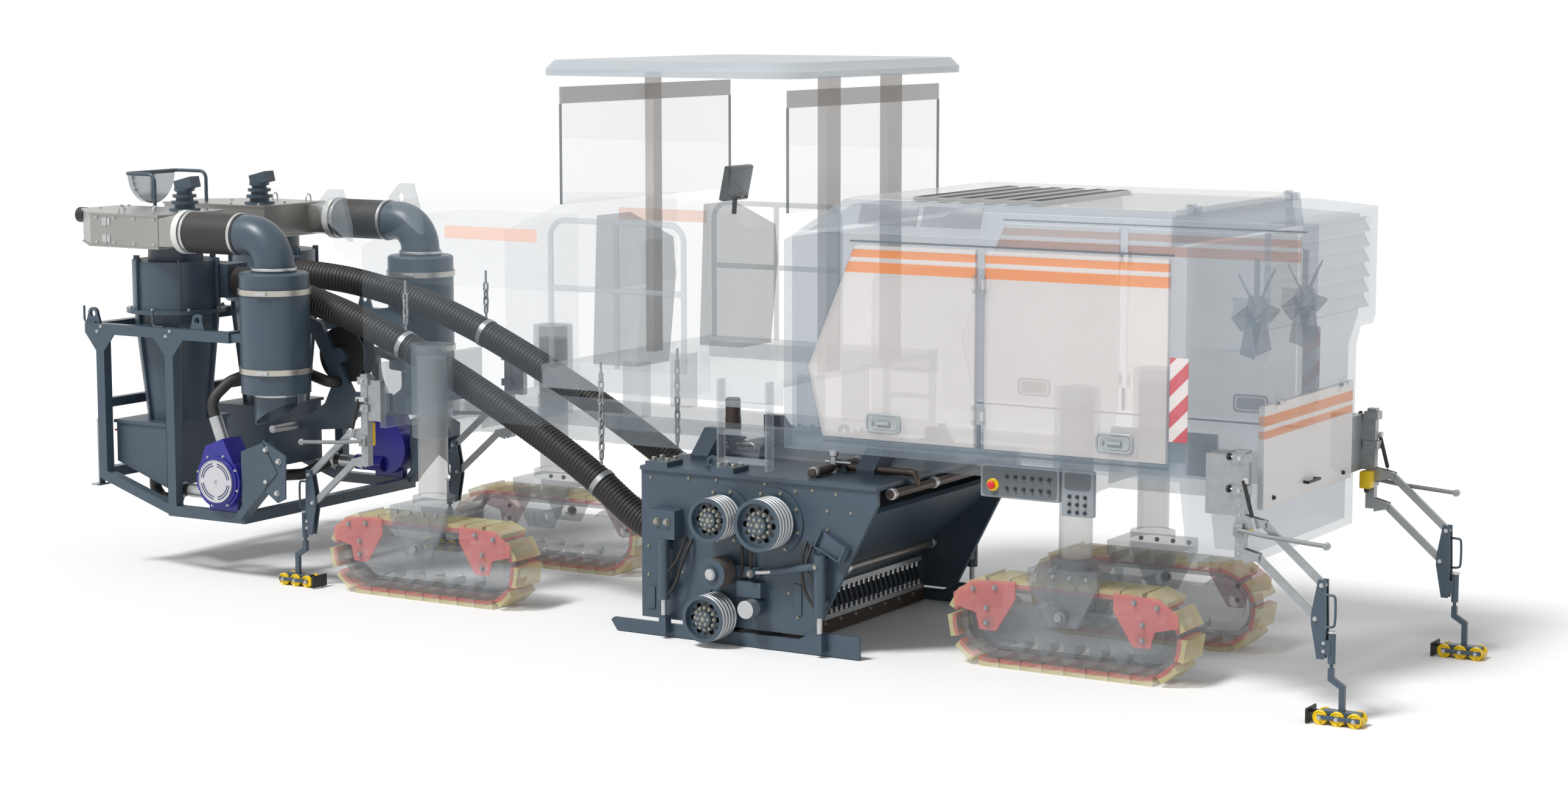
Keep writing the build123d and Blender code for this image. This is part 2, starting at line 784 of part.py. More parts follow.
with BuildPart() as hood_lid:
    lid_low_z = seam_z + shut_gap
    for inset, low_z, high_z, mode in (
        (0, lid_low_z, roof_z, Mode.ADD),
        (panel, lid_low_z - 1, roof_z - panel, Mode.SUBTRACT),
    ):
        with BuildSketch(Plane.XY.offset(low_z)) as rim:
            with Locations(((seam_front_x + lid_rear_x) / 2, 0)):
                Rectangle(seam_front_x - lid_rear_x - 2 * inset, 2 * (hood_half_width - inset))
        with BuildSketch(Plane.XY.offset(high_z)) as top:
            with Locations(((roof_front_x + lid_rear_x) / 2, 0)):
                Rectangle(roof_front_x - lid_rear_x - 2 * inset, 2 * (roof_half_width - inset))
        loft((rim.sketch, top.sketch), mode=mode)
    for slot in range(6):
        slot_x = drum_x - 1350 - slot * 170
        block((slot_x - 45, slot_x + 45), (-700, 700), (roof_z - panel - 5, roof_z + 5), Mode.SUBTRACT)
    for axis_y in (roof_half_width - hinge_inset, hinge_inset - roof_half_width):
        axis_x = lid_rear_x - shut_gap / 2
        hinge_eye(
            (axis_x, axis_y, roof_z + knuckle_r),
            (0, 1, 0),
            (axis_x, axis_x + hinge_leaf_width),
            span(axis_y, knuckle_length),
            (roof_z, roof_z + hinge_leaf),
        )
save(hood_lid, "hood_lid")

for hand, side in (("left", 1), ("right", -1)):
    for place, way in (("front", 1), ("rear", -1)):
        with BuildPart() as side_door:
            low_y, high_y = sorted((side * (hood_half_width - panel), side * hood_half_width))
            side_plate(door_outline(place, shut_gap), low_y, high_y)
            axis_x = door_post_x + way * (door_post_width / 2 + shut_gap / 2)
            axis_y = side * (hood_half_width + knuckle_r)
            for axis_z in (door_low_z + hinge_inset, door_top_z - hinge_inset):
                hinge_eye(
                    (axis_x, axis_y, axis_z),
                    (0, 0, 1),
                    (axis_x, axis_x + way * hinge_leaf_width),
                    (side * hood_half_width, side * (hood_half_width + hinge_leaf)),
                    span(axis_z, knuckle_length),
                )
        save(side_door, f"door_{place}_{hand}")

with BuildPart() as rear_flap:
    block(
        (tail_x, tail_x + panel),
        (-flap_half_width + shut_gap, flap_half_width - shut_gap),
        (flap_low_z + shut_gap, flap_top_z - shut_gap),
    )
    for axis_y in (flap_half_width - hinge_inset, hinge_inset - flap_half_width):
        axis_z = flap_top_z - shut_gap / 2
        hinge_eye(
            (tail_x - knuckle_r, axis_y, axis_z),
            (0, 1, 0),
            (tail_x - hinge_leaf, tail_x),
            span(axis_y, knuckle_length),
            (axis_z - hinge_leaf_width, axis_z),
        )
save(rear_flap, "rear_flap")

with BuildPart() as engine_block:
    block(
        (engine_x - engine_length / 2, engine_x + engine_length / 2),
        (-engine_width / 2, engine_width / 2),
        (frame_top_z + panel, frame_top_z + panel + engine_height),
    )
    chamfer(engine_block.edges().filter_by(Axis.X), length=60)
    block(
        (cooler_x - cooler_depth, cooler_x),
        (-inner_half + 20, inner_half - 20),
        (frame_top_z + panel, roof_z - 250),
    )
    for fan_side in (fan_y, -fan_y):
        boss_x = cooler_x - cooler_depth
        rod((boss_x, fan_side, fan_z), (boss_x - fan_boss, fan_side, fan_z), fan_hub_r - 20)
save(engine_block, "engine_and_cooler")

for hand, side in (("left", 1), ("right", -1)):
    with BuildPart() as cooling_fan:
        hub_x = cooler_x - cooler_depth - fan_boss - seat_gap
        rod((hub_x, side * fan_y, fan_z), (hub_x - fan_depth, side * fan_y, fan_z), fan_hub_r)
        for blade in range(fan_blades):
            turning = Location((hub_x - fan_depth / 2, side * fan_y, fan_z), (blade * 360 / fan_blades, 0, 0))
            with Locations(turning * Location((0, 0, (fan_r + fan_hub_r) / 2 - 5), (0, 0, 35))):
                Box(12, 110, fan_r - fan_hub_r + 10)
    save(cooling_fan, f"cooling_fan_{hand}")

# Milling unit: open-bottomed housing with brackets, pulley bosses and suction sockets
belt_pulleys = (
    # name, station, height, radius
    ("engine_pulley", drum_x - 432.0, 881.0, 178.0),
    ("pump_pulley", drum_x - 41.0, 883.0, 151.0),
)
tension_x = drum_x - 55.0
tension_z = 513.0
tension_r = 105.0
pulley_back_y = pulley_face_y - pulley_width
with BuildPart() as milling_housing:
    wall_outline = (
        (housing_front_x, housing_low_z),
        (housing_front_x, housing_top_z),
        (housing_rear_x, housing_top_z),
        (housing_rear_x, housing_top_z - 130),
        (drum_x - 760, housing_low_z + 30),
        (drum_x - 700, housing_low_z),
    )
    wall_in_y = housing_half_width - housing_plate
    side_plate(wall_outline, wall_in_y, housing_half_width)
    mirror(about=Plane.XZ)
    block(
        (housing_rear_x, housing_front_x),
        (-wall_in_y, wall_in_y),
        (housing_top_z - housing_plate, housing_top_z),
    )
    block(
        (housing_front_x - housing_plate, housing_front_x),
        (-wall_in_y, wall_in_y),
        (housing_low_z + 180, housing_top_z),
    )
    for bracket_x in (drum_x + 430, drum_x - 900):
        for side in (1, -1):
            gusset = [
                (side * beam_out_y, frame_top_z - 20),
                (side * beam_out_y, housing_top_z),
                (side * (beam_out_y + 240), housing_top_z),
                (side * (beam_out_y + 240), housing_top_z + 30),
                (side * (beam_out_y + 60), frame_top_z - 20),
            ]
            with BuildSketch(Plane.YZ.offset(bracket_x - 70)) as bracket:
                with BuildLine():
                    Polyline(*gusset, close=True)
                make_face()
            extrude(bracket.sketch, amount=140, dir=(1, 0, 0))
    for side in (1, -1):
        flange_y = (side * housing_half_width, side * (housing_half_width + top_flange))
        block((housing_rear_x, housing_front_x), flange_y, (housing_top_z - 28, housing_top_z))
        for station in pad_x:
            block(
                span(station, 180),
                (side * (housing_half_width - 180), side * (housing_half_width + top_flange)),
                (housing_top_z, housing_top_z + 34),
            )
        shoulder_y = (side * housing_half_width, side * (lift_cylinder_y + 32))
        block((drum_x + 300, drum_x + 516), shoulder_y, (lift_head_z, lift_head_z + 200))
    for _, pulley_x, pulley_z, pulley_r in belt_pulleys:
        boss_end = pulley_back_y - seat_gap
        rod((pulley_x, housing_half_width, pulley_z), (pulley_x, boss_end, pulley_z), 85)
        plate_end = (pulley_x, housing_half_width + thin_plate, pulley_z)
        rod((pulley_x, housing_half_width, pulley_z), plate_end, pulley_r + 52)
    tension_boss = pulley_back_y + 10 - seat_gap
    rod((tension_x, housing_half_width, tension_z), (tension_x, tension_boss, tension_z), 60)
    lever = (
        (tension_x + 40, tension_z + 50),
        (tension_x + 40, tension_z - 50),
        (tension_eye[0] - 30, tension_eye[1] - 30),
        (tension_eye[0] - 30, tension_eye[1] + 30),
    )
    side_plate(lever, housing_half_width + 8, housing_half_width + 40)
    for (start_x, start_z), (end_x, end_z), radius in (
        (tension_eye, tension_gland, 14),
        (tension_gland, tension_heel, 27),
    ):
        rod((start_x, tension_line_y, start_z), (end_x, tension_line_y, end_z), radius)
    for eye_x, eye_z in (tension_eye, tension_heel):
        rod((eye_x, housing_half_width, eye_z), (eye_x, tension_line_y + 32, eye_z), 30)
    block((drum_x - 370, drum_x - 180), (housing_half_width, housing_half_width + 80), (356, 460))
    rod((drum_x - 312, housing_half_width, 290), (drum_x - 312, housing_half_width + 180, 290), 62)
    for side in (1, -1):
        mouth = (housing_front_x + socket_length, side * hose_y, socket_z)
        rod((housing_front_x, side * hose_y, socket_z), mouth, hose_r + band_depth)
        shaft_end = (drum_x, side * (housing_half_width + 5), drum_z)
        rod((drum_x, side * (wall_in_y - 5), drum_z), shaft_end, shaft_r + 0.5, Mode.SUBTRACT)
    for cylinder_x in lift_cylinder_x:
        for side in (1, -1):
            foot = (cylinder_x, side * lift_cylinder_y, lift_foot_z)
            head = (cylinder_x, side * lift_cylinder_y, lift_head_z)
            rod(foot, head, lift_barrel_r)
            for lug_z in (lift_foot_z + 60, lift_head_z - 80):
                lug_y = (side * housing_half_width, side * lift_cylinder_y)
                block((cylinder_x - 30, cylinder_x + 30), lug_y, (lug_z, lug_z + 50))
            rod(foot, head, lift_rod_r + 0.5, Mode.SUBTRACT)
save(milling_housing, "milling_housing")

with BuildPart() as scraper:
    scraper_outline = (
        scraper_top,
        (scraper_top[0] + scraper_plate, scraper_top[1] + scraper_plate),
        (scraper_knee[0] + scraper_plate, scraper_knee[1] + scraper_plate),
        (scraper_blade_x + scraper_plate, spray_bar_z + 80),
        (scraper_blade_x + scraper_plate, 2 * ground_gap),
        (scraper_blade_x, 2 * ground_gap),
        (scraper_blade_x, spray_bar_z + 70),
        scraper_knee,
    )
    side_plate(scraper_outline, -wall_in_y, wall_in_y)
    pipe_x, pipe_z = spray_pipe
    rod((pipe_x, -wall_in_y + 40, pipe_z), (pipe_x, wall_in_y - 40, pipe_z), spray_pipe_r)
    spray_half = (spray_hoses - 1) * spray_pitch / 2
    for bar_z in (spray_bar_z, spray_foot_z):
        bar_y = (-spray_half - 60, spray_half + 60)
        block((scraper_blade_x - 46, scraper_blade_x), bar_y, span(bar_z, 34))
    hose_x = scraper_blade_x - 30
    for hose in range(spray_hoses):
        nozzle_y = hose * spray_pitch - spray_half
        bent_tube(
            (
                (hose_x, nozzle_y, spray_bar_z),
                (hose_x, nozzle_y, spray_bar_z - 65),
                (hose_x, nozzle_y - spray_sway, spray_foot_z + 75),
                (hose_x, nozzle_y - spray_sway, spray_foot_z),
            ),
            spray_hose_r,
            34,
        )
save(scraper, "scraper")

for hand, side in (("left", 1), ("right", -1)):
    with BuildPart() as side_skid:
        low, high = sorted((side * side_plate_in_y, side * (side_plate_in_y + side_plate_depth)))
        skid_outline = (
            (skid_rear_x, ground_gap),
            (skid_rear_x, ground_gap + skid_tail_height),
            (drum_x - 760, ground_gap + skid_tail_height),
            (drum_x - 640, ground_gap + skid_height),
            (skid_front_x - 25, ground_gap + skid_height),
            (skid_front_x, ground_gap + skid_height - 20),
            (skid_front_x - 50, ground_gap),
        )
        side_plate(skid_outline, low, high)
        for cylinder_x in lift_cylinder_x:
            lug = (side * (side_plate_in_y + side_plate_depth - 2), side * (lift_cylinder_y + 24))
            block((cylinder_x - 28, cylinder_x + 28), lug, (ground_gap + 30, ground_gap + 150))
            rod_foot = (cylinder_x, side * lift_cylinder_y, ground_gap + 140)
            rod(rod_foot, (cylinder_x, side * lift_cylinder_y, lift_head_z - 80), lift_rod_r)
    save(side_skid, f"side_skid_{hand}")

with BuildPart() as milling_drum:
    core_half = wall_in_y - 30
    rod((drum_x, -core_half, drum_z), (drum_x, core_half, drum_z), drum_core_r)
    rod((drum_x, -pulley_back_y, drum_z), (drum_x, pulley_back_y, drum_z), shaft_r)
    for row in range(pick_rows):
        row_y = (row - (pick_rows - 1) / 2) * 2 * (core_half - 40) / (pick_rows - 1)
        for start in range(pick_starts):
            angle = abs(row_y) / core_half * 200 + start * 360 / pick_starts
            turning = Location((drum_x, row_y, drum_z), (0, angle, 0))
            with Locations(turning * Location((0, 0, drum_core_r + pick_height / 2 - 3))):
                Box(40, 44, pick_height)
save(milling_drum, "milling_drum")


def pulley(radius, axis_x, axis_z, back_y, width):
    """Grooved belt pulley with a dished web and a ring of holes, its face towards +Y."""
    rim = 26.0
    web = 40.0
    groove = 9.0
    outline = [(0, back_y), (radius, back_y)]
    grooves = 5
    pitch = width / grooves
    for step in range(grooves):
        low = back_y + step * pitch
        outline.append((radius, low + 0.25 * pitch))
        outline.append((radius - groove, low + 0.5 * pitch))
        outline.append((radius, low + 0.75 * pitch))
    outline += [
        (radius, back_y + width),
        (radius - rim, back_y + width),
        (radius - rim, back_y + width - web),
        (0.36 * radius, back_y + width - web),
        (0.36 * radius, back_y + width - 8),
        (0, back_y + width - 8),
    ]
    turned(outline, (axis_x, 0, axis_z), (0, 1, 0), (1, 0, 0))
    with BuildSketch(Plane.XZ.offset(-(back_y + width))) as holes:
        with Locations((axis_x, axis_z)):
            with PolarLocations(0.61 * radius, 6):
                Circle(0.13 * radius)
    extrude(holes.sketch, amount=web + 40, dir=(0, -1, 0), mode=Mode.SUBTRACT)


for name, pulley_x, pulley_z, pulley_r in belt_pulleys + (("drum_pulley", drum_x, drum_z, 161.0),):
    with BuildPart() as belt_pulley:
        pulley(pulley_r, pulley_x, pulley_z, pulley_back_y, pulley_width)
    save(belt_pulley, name)

with BuildPart() as tension_roller:
    roller_back = pulley_back_y + 10
    rod((tension_x, roller_back, tension_z), (tension_x, pulley_face_y - 30, tension_z), tension_r)
    rod((tension_x, pulley_face_y - 30, tension_z), (tension_x, pulley_face_y - 10, tension_z), 50)
save(tension_roller, "tension_roller")

def lifting_eye(eye_x):
    """Plate with a round hole, standing on the top beam."""
    eye_z = unit_top_z + eye_r + 24
    low_y = unit_y - eye_plate / 2
    high_y = unit_y + eye_plate / 2
    foot = (
        (eye_x - 1.5 * eye_r, unit_top_z - 4),
        (eye_x - eye_r, eye_z),
        (eye_x + eye_r, eye_z),
        (eye_x + 1.5 * eye_r, unit_top_z - 4),
    )
    side_plate(foot, low_y, high_y)
    rod((eye_x, low_y, eye_z), (eye_x, high_y, eye_z), eye_r)
    rod((eye_x, low_y - 5, eye_z), (eye_x, high_y + 5, eye_z), eye_hole_r, Mode.SUBTRACT)


# Extraction unit: welded frame hung on the nose plate, cyclones, fans, ducts and silencers
reel_x = drum_x + 3740.0
reel_z = 1700.0
with BuildPart() as unit_frame:
    half_tube = unit_tube / 2
    low_y = unit_y - half_tube
    high_y = unit_y + half_tube
    beam_low_z = unit_top_z - unit_tube
    rail_rear_end = unit_rear_x - 120
    block((unit_rear_x, unit_front_x + unit_overhang), (low_y, high_y), (beam_low_z, unit_top_z))
    for post_x, post_low_z in ((unit_front_x, unit_nose_low_z), (unit_post_x, unit_low_z)):
        block(span(post_x, unit_tube), (low_y, high_y), (post_low_z, unit_top_z))
        for way in (1, -1):
            gusset = (
                (post_x + way * half_tube, beam_low_z),
                (post_x + way * (half_tube + gusset_reach), beam_low_z),
                (post_x + way * half_tube, beam_low_z - gusset_drop),
            )
            side_plate(gusset, high_y - thin_plate, high_y)
    inclined = (
        (unit_front_x + half_tube, unit_nose_low_z),
        (unit_front_x + half_tube, unit_nose_low_z + unit_tube),
        (unit_post_x, unit_low_z + unit_tube),
        (rail_rear_end, unit_low_z + unit_tube),
        (rail_rear_end, unit_low_z),
        (unit_post_x, unit_low_z),
    )
    side_plate(inclined, low_y, high_y)
    for eye_x in (unit_front_x + 90, unit_post_x - 266):
        lifting_eye(eye_x)
    for hook_x in (unit_front_x + 60, unit_post_x + 60):
        bent_tube(
            (
                (hook_x, high_y - 20, unit_top_z + 4),
                (hook_x + 110, high_y - 20, unit_top_z + 4),
                (hook_x + 110, high_y - 20, unit_top_z + 130),
            ),
            hook_r,
            30,
        )
    hanger = (
        # curved plate from the top beam down and back to the nose plate and the cross tube
        (unit_rear_x + unit_tube, unit_top_z),
        (drum_x + 4000, unit_top_z + 80),
        (drum_x + 3905, unit_top_z + 45),
        (drum_x + 3611, 1430),
        (beam_front_x + nose_plate, 1440),
        (beam_front_x + nose_plate, 1300),
        (drum_x + 3590, 1240),
        (drum_x + 3660, 1150),
        (cross_tube_x + 60, cross_tube_z - 50),
        (cross_tube_x + 60, cross_tube_z + 50),
        (drum_x + 4021, 1235),
        (drum_x + 3880, 1330),
        (drum_x + 3815, 1460),
        (drum_x + 3850, 1610),
        (drum_x + 3990, beam_low_z + 40),
        (unit_rear_x + unit_tube, beam_low_z),
    )
    side_plate(hanger, *hanger_y)
    rod((reel_x, hanger_y[0], reel_z), (reel_x, hanger_y[1], reel_z), 60)
    gear_case = (
        (pump_x - pump_r - 5, 1010),
        (drum_x + 3990, 1090),
        (drum_x + 3855, 870),
        (drum_x + 4150, 568),
        (rail_rear_end + 5, unit_low_z + half_tube),
        (rail_rear_end + 50, unit_low_z + half_tube),
        (rail_rear_end + 50, unit_low_z + unit_tube),
        (pump_x - pump_r - 5, 600),
    )
    side_plate(gear_case, pump_y + 60, pump_y + pump_depth - 20)
    bracket = (
        (drum_x + 3995, 1110),
        (drum_x + 3776, 1003),
        (drum_x + 3785, 680),
        (drum_x + 3860, 645),
        (drum_x + 3995, 735),
    )
    side_plate(bracket, pump_y + 160, pump_y + 160 + thin_plate)
    stand_x = unit_front_x + half_tube
    block((stand_x, stand_x + thin_plate), (unit_y - 20, high_y), (640, 1150))
    block((stand_x - 30, stand_x + 60), (unit_y - 50, high_y + 30), (632, 642))
    mirror(about=Plane.XZ)
    for tie_x, tie_z in (
        (unit_rear_x, beam_low_z),
        (unit_front_x + 40, beam_low_z),
        (unit_front_x - half_tube, unit_nose_low_z),
        (rail_rear_end, unit_low_z),
    ):
        block((tie_x, tie_x + unit_tube), (-high_y, high_y), (tie_z, tie_z + unit_tube))
    block((unit_front_x - 20, unit_front_x + half_tube), (-low_y, low_y), (1235, 1305))
    cross_end_y = hanger_y[1] + 300
    rod((cross_tube_x, -cross_end_y, cross_tube_z), (cross_tube_x, cross_end_y, cross_tube_z), cross_tube_r)
save(unit_frame, "unit_frame")

with BuildPart() as cyclones:
    turned(
        (
            (0, cone_low_z),
            (cone_low_r, cone_low_z),
            (cyclone_r - 14, cyclone_low_z - 110),
            (cyclone_r - 14, cyclone_low_z - 30),
            (cyclone_r + 50, cyclone_low_z - 30),
            (cyclone_r + 50, cyclone_low_z),
            (cyclone_r, cyclone_low_z),
            (cyclone_r, cyclone_top_z),
            (210, cyclone_top_z),
            (210, fan_box_low_z),
            (0, fan_box_low_z),
        ),
        (cyclone_x, cyclone_y, 0),
        (0, 0, 1),
        (1, 0, 0),
    )
    for rib in range(cyclone_ribs):
        turn = radians(rib * 360 / cyclone_ribs + 15)
        rib_plane = Plane((cyclone_x, cyclone_y, 0), (cos(turn), sin(turn), 0), (sin(turn), -cos(turn), 0))
        with BuildSketch(rib_plane) as rib_faces:
            with BuildLine():
                Polyline(
                    (cone_low_r - 20, cone_low_z),
                    (cone_low_r + rib_height, cone_low_z),
                    (cyclone_r - 14 + rib_height, cyclone_low_z - 110),
                    (cyclone_r - 14 + rib_height, cyclone_low_z - 20),
                    (cyclone_r - 40, cyclone_low_z - 20),
                    close=True,
                )
            make_face()
            with BuildLine():
                Polyline(
                    (cyclone_r - 20, cyclone_low_z - 5),
                    (cyclone_r + rib_height, cyclone_low_z - 5),
                    (cyclone_r + rib_height, cyclone_top_z + 22),
                    (cyclone_r - 20, cyclone_top_z + 22),
                    close=True,
                )
            make_face()
        extrude(rib_faces.sketch, amount=rib_plate / 2, both=True)
    hopper_outline = (
        (hopper_front_x, cone_low_z),
        (hopper_front_x, hopper_front_z),
        (hopper_rear_x, hopper_rear_z),
        (hopper_rear_x, cone_low_z),
    )
    side_plate(hopper_outline, cyclone_y - hopper_half_width, cyclone_y + hopper_half_width)
    block(
        (hopper_rear_x - hopper_rim, hopper_front_x + hopper_rim),
        span(cyclone_y, 2 * (hopper_half_width + hopper_rim)),
        (cone_low_z - 24, cone_low_z),
    )
    rod((drain_x, drain_y, drain_z), (drain_x, drain_y, hopper_front_z), inlet_r + 6)
    block((cyclone_x - 430, cyclone_x), (cyclone_y - cyclone_r, cyclone_y - cyclone_r + 230), (2080, 2340))
    block(
        (cyclone_x - 60, cyclone_x + 60),
        (cyclone_y, unit_y - unit_tube / 2),
        (unit_top_z - unit_tube, unit_top_z),
    )
    mirror(about=Plane.XZ)
save(cyclones, "cyclones")

with BuildPart() as fan_boxes:
    box_outline = (
        (fan_box_rear_x, fan_box_in_y),
        (fan_box_rear_x, fan_box_out_y),
        (fan_box_front_x - 360, fan_box_out_y),
        (fan_box_front_x, fan_box_out_y - 300),
        (fan_box_front_x, fan_box_in_y),
    )
    plan_plate(box_outline, fan_box_low_z, fan_box_top_z)
    for rim_z in (fan_box_low_z, fan_box_top_z - box_rim):
        with BuildSketch(Plane.XY.offset(rim_z)) as rim_face:
            with BuildLine():
                Polyline(*box_outline, close=True)
            make_face()
            offset(amount=box_rim, kind=Kind.INTERSECTION)
        extrude(rim_face.sketch, amount=box_rim)
    with BuildSketch(Plane.YZ.offset(fan_box_rear_x)) as square_end:
        with Locations((duct_y - 20, (fan_box_low_z + fan_box_top_z) / 2)):
            Rectangle(220, fan_box_top_z - fan_box_low_z - 40)
    with BuildSketch(Plane.YZ.offset(duct_flange_x)) as round_end:
        with Locations((duct_y, duct_z)):
            Circle(duct_r)
    loft((square_end.sketch, round_end.sketch))
    rod((duct_flange_x, duct_y, duct_z), (duct_flange_x + 55, duct_y, duct_z), duct_r + 14)
    lamp_z = fan_box_top_z - 60
    lamp_y = fan_box_in_y + 330
    rod((fan_box_front_x, lamp_y, lamp_z), (fan_box_front_x + 60, lamp_y, lamp_z), 20)
    rod((fan_box_front_x + 50, lamp_y, lamp_z), (fan_box_front_x + lamp_reach, lamp_y, lamp_z), 60)
    bent_tube(
        (
            (mirror_post_x, mirror_y, fan_box_top_z - 5),
            (mirror_post_x, mirror_y, mirror_z),
            (mirror_x, mirror_y, mirror_z),
            (mirror_x, 0, mirror_z),
        ),
        mirror_tube_r,
        60,
    )
    with BuildSketch(Plane.YZ.offset(mirror_x - 30)) as half_moon:
        with Locations((0, mirror_z)):
            Circle(mirror_r)
            with Locations((0, mirror_r)):
                Rectangle(2 * mirror_r + 20, 2 * mirror_r, mode=Mode.SUBTRACT)
    extrude(half_moon.sketch, amount=44, dir=(1, 0, 0))
    mirror(about=Plane.XZ)
save(fan_boxes, "fan_boxes")

inlet_end_x = pump_x + pump_r + 230
neck_way = Vector(0, 0, 1).rotate(Axis.Y, pump_neck_tilt)
neck_top = Vector(pump_x + 32, pump_y + pump_depth / 2, pump_z + 291)
elbow_end = neck_top + neck_way * 190
outlet_route = (
    elbow_end,
    elbow_end + neck_way * 130,
    (drum_x + 4470, 880, 1500),
    (drum_x + 4330, 700, 1580),
    (drum_x + 4100, 560, 1590),
    (drum_x + 3750, 560, 1500),
    (drum_x + 3750, hanger_y[1], 1500),
)
sleeve_rear_x = silencer_x + elbow_bend + 70
with BuildPart() as duct_sleeves:
    rod((duct_flange_x, duct_y, duct_z), (sleeve_rear_x, duct_y, duct_z), duct_r + 4)
    bent_tube(
        (
            (inlet_end_x, inlet_y, inlet_z),
            (inlet_end_x + 105, inlet_y, inlet_z),
            (drain_x - 370, drain_y + 160, drain_z - 170),
            (drain_x - 100, drain_y + 40, drain_z - 190),
            (drain_x, drain_y, drain_z - 130),
            (drain_x, drain_y, drain_z),
        ),
        inlet_r,
        (90, 150, 100, 60),
    )
    bent_tube(outlet_route, outlet_r, (150, 150, 150, 150, 70))
    mirror(about=Plane.XZ)
save(duct_sleeves, "duct_sleeves")

with BuildPart() as silencers:
    elbow_top = (sleeve_rear_x, duct_y, duct_z)
    bent_tube(
        (
            elbow_top,
            (silencer_x, duct_y, duct_z),
            (silencer_x, duct_y, silencer_top_z),
        ),
        duct_r,
        elbow_bend,
    )
    can = [(0, silencer_low_z), (silencer_r, silencer_low_z)]
    for band_z in silencer_bands:
        for out, z in ((0, 0), (band_depth, 0), (band_depth, band_height), (0, band_height)):
            can.append((silencer_r + out, band_z + z))
    can += [
        (silencer_r, silencer_top_z - 14),
        (silencer_r - 16, silencer_top_z),
        (duct_r + 12, silencer_top_z),
        (duct_r + 12, silencer_top_z + 40),
        (0, silencer_top_z + 40),
    ]
    turned(can, (silencer_x, duct_y, 0), (0, 0, 1), (1, 0, 0))
    rod((silencer_x, duct_y, cowl_tip_z - 20), (silencer_x, duct_y, silencer_low_z), cowl_r)
    mouth = (
        (silencer_x - cowl_r - 5, cowl_heel_z),
        (silencer_x + cowl_r + 5, cowl_tip_z),
        (silencer_x + cowl_r + 5, cowl_tip_z - 60),
        (silencer_x - cowl_r - 5, cowl_tip_z - 60),
    )
    side_plate(mouth, duct_y - cowl_r - 5, duct_y + cowl_r + 5, Mode.SUBTRACT)
    bore_top = (silencer_x, duct_y, cowl_heel_z + 40)
    rod((silencer_x, duct_y, cowl_tip_z - 60), bore_top, cowl_r - cowl_wall, Mode.SUBTRACT)
    block((silencer_x, unit_rear_x), (unit_y - 60, unit_y + 20), (unit_top_z - 70, unit_top_z - 10))
    mirror(about=Plane.XZ)
save(silencers, "silencers")

with BuildPart() as fan_motors:
    stack = [(0, fan_box_top_z), (120, fan_box_top_z), (120, fan_box_top_z + 18)]
    for collar_z, collar_r, neck_r in ((50, 105, 78), (100, 92, 68), (150, 80, 60)):
        stack.append((neck_r, stack[-1][1]))
        stack.append((neck_r, fan_box_top_z + collar_z))
        stack.append((collar_r, fan_box_top_z + collar_z))
        stack.append((collar_r, fan_box_top_z + collar_z + 24))
    stack.append((0, stack[-1][1]))
    turned(stack, (motor_x, motor_y, 0), (0, 0, 1), (1, 0, 0))
    with Locations(Location((motor_x - 30, motor_y, fan_box_top_z + 205), (0, 14, 0))):
        Box(170, 110, 84)
    mirror(about=Plane.XZ)
save(fan_motors, "fan_motors")

with BuildPart() as slurry_pumps:
    rod((pump_x, pump_y, pump_z), (pump_x, pump_y + pump_depth, pump_z), pump_r)
    across = neck_way.rotate(Axis.Y, 90) * (pump_neck / 2)
    volute = [neck_top + across, neck_top - across]
    volute_outline = [(corner.X, corner.Z) for corner in volute]
    volute_outline += [(pump_x - pump_r + 5, pump_z + 50), (pump_x + pump_r - 2, pump_z + 20)]
    side_plate(volute_outline, pump_y, pump_y + pump_depth)
    face_y = pump_y + pump_depth
    rod((pump_x, face_y, pump_z), (pump_x, face_y + 30, pump_z), pump_disc_r)
    rod((pump_x, face_y, pump_z), (pump_x, face_y + 14, pump_z), pump_r - 22)
    rod((pump_x, inlet_y, inlet_z), (pump_x + pump_r + 70, inlet_y, inlet_z), inlet_r + 16)
    block(
        (pump_x - 130, pump_x + 150),
        (pump_y + 70, pump_y + 130),
        (unit_low_z + unit_tube, pump_z),
    )
    mirror(about=Plane.XZ)
save(slurry_pumps, "slurry_pumps")

hose_route = (
    (cyclone_x - 430, hose_y - 144, 2210),
    (cyclone_x - 620, hose_y - 144, 2210),
    (drum_x + 4180, hose_y - 50, 2150),
    (drum_x + 3430, hose_y, 1965),
    (drum_x + 2480, hose_y, 1560),
    (drum_x + 1498, hose_y, 1050),
    (drum_x + 1050, hose_y, socket_z + 80),
    (housing_front_x + socket_length + 120, hose_y, socket_z),
    (housing_front_x + socket_length, hose_y, socket_z),
)
with BuildPart() as suction_hoses:
    bent_tube(hose_route, hose_r, (700, 1500, 1500, 3000, 1500, 700, 230))
    mirror(about=Plane.XZ)
save(suction_hoses, "suction_hoses")

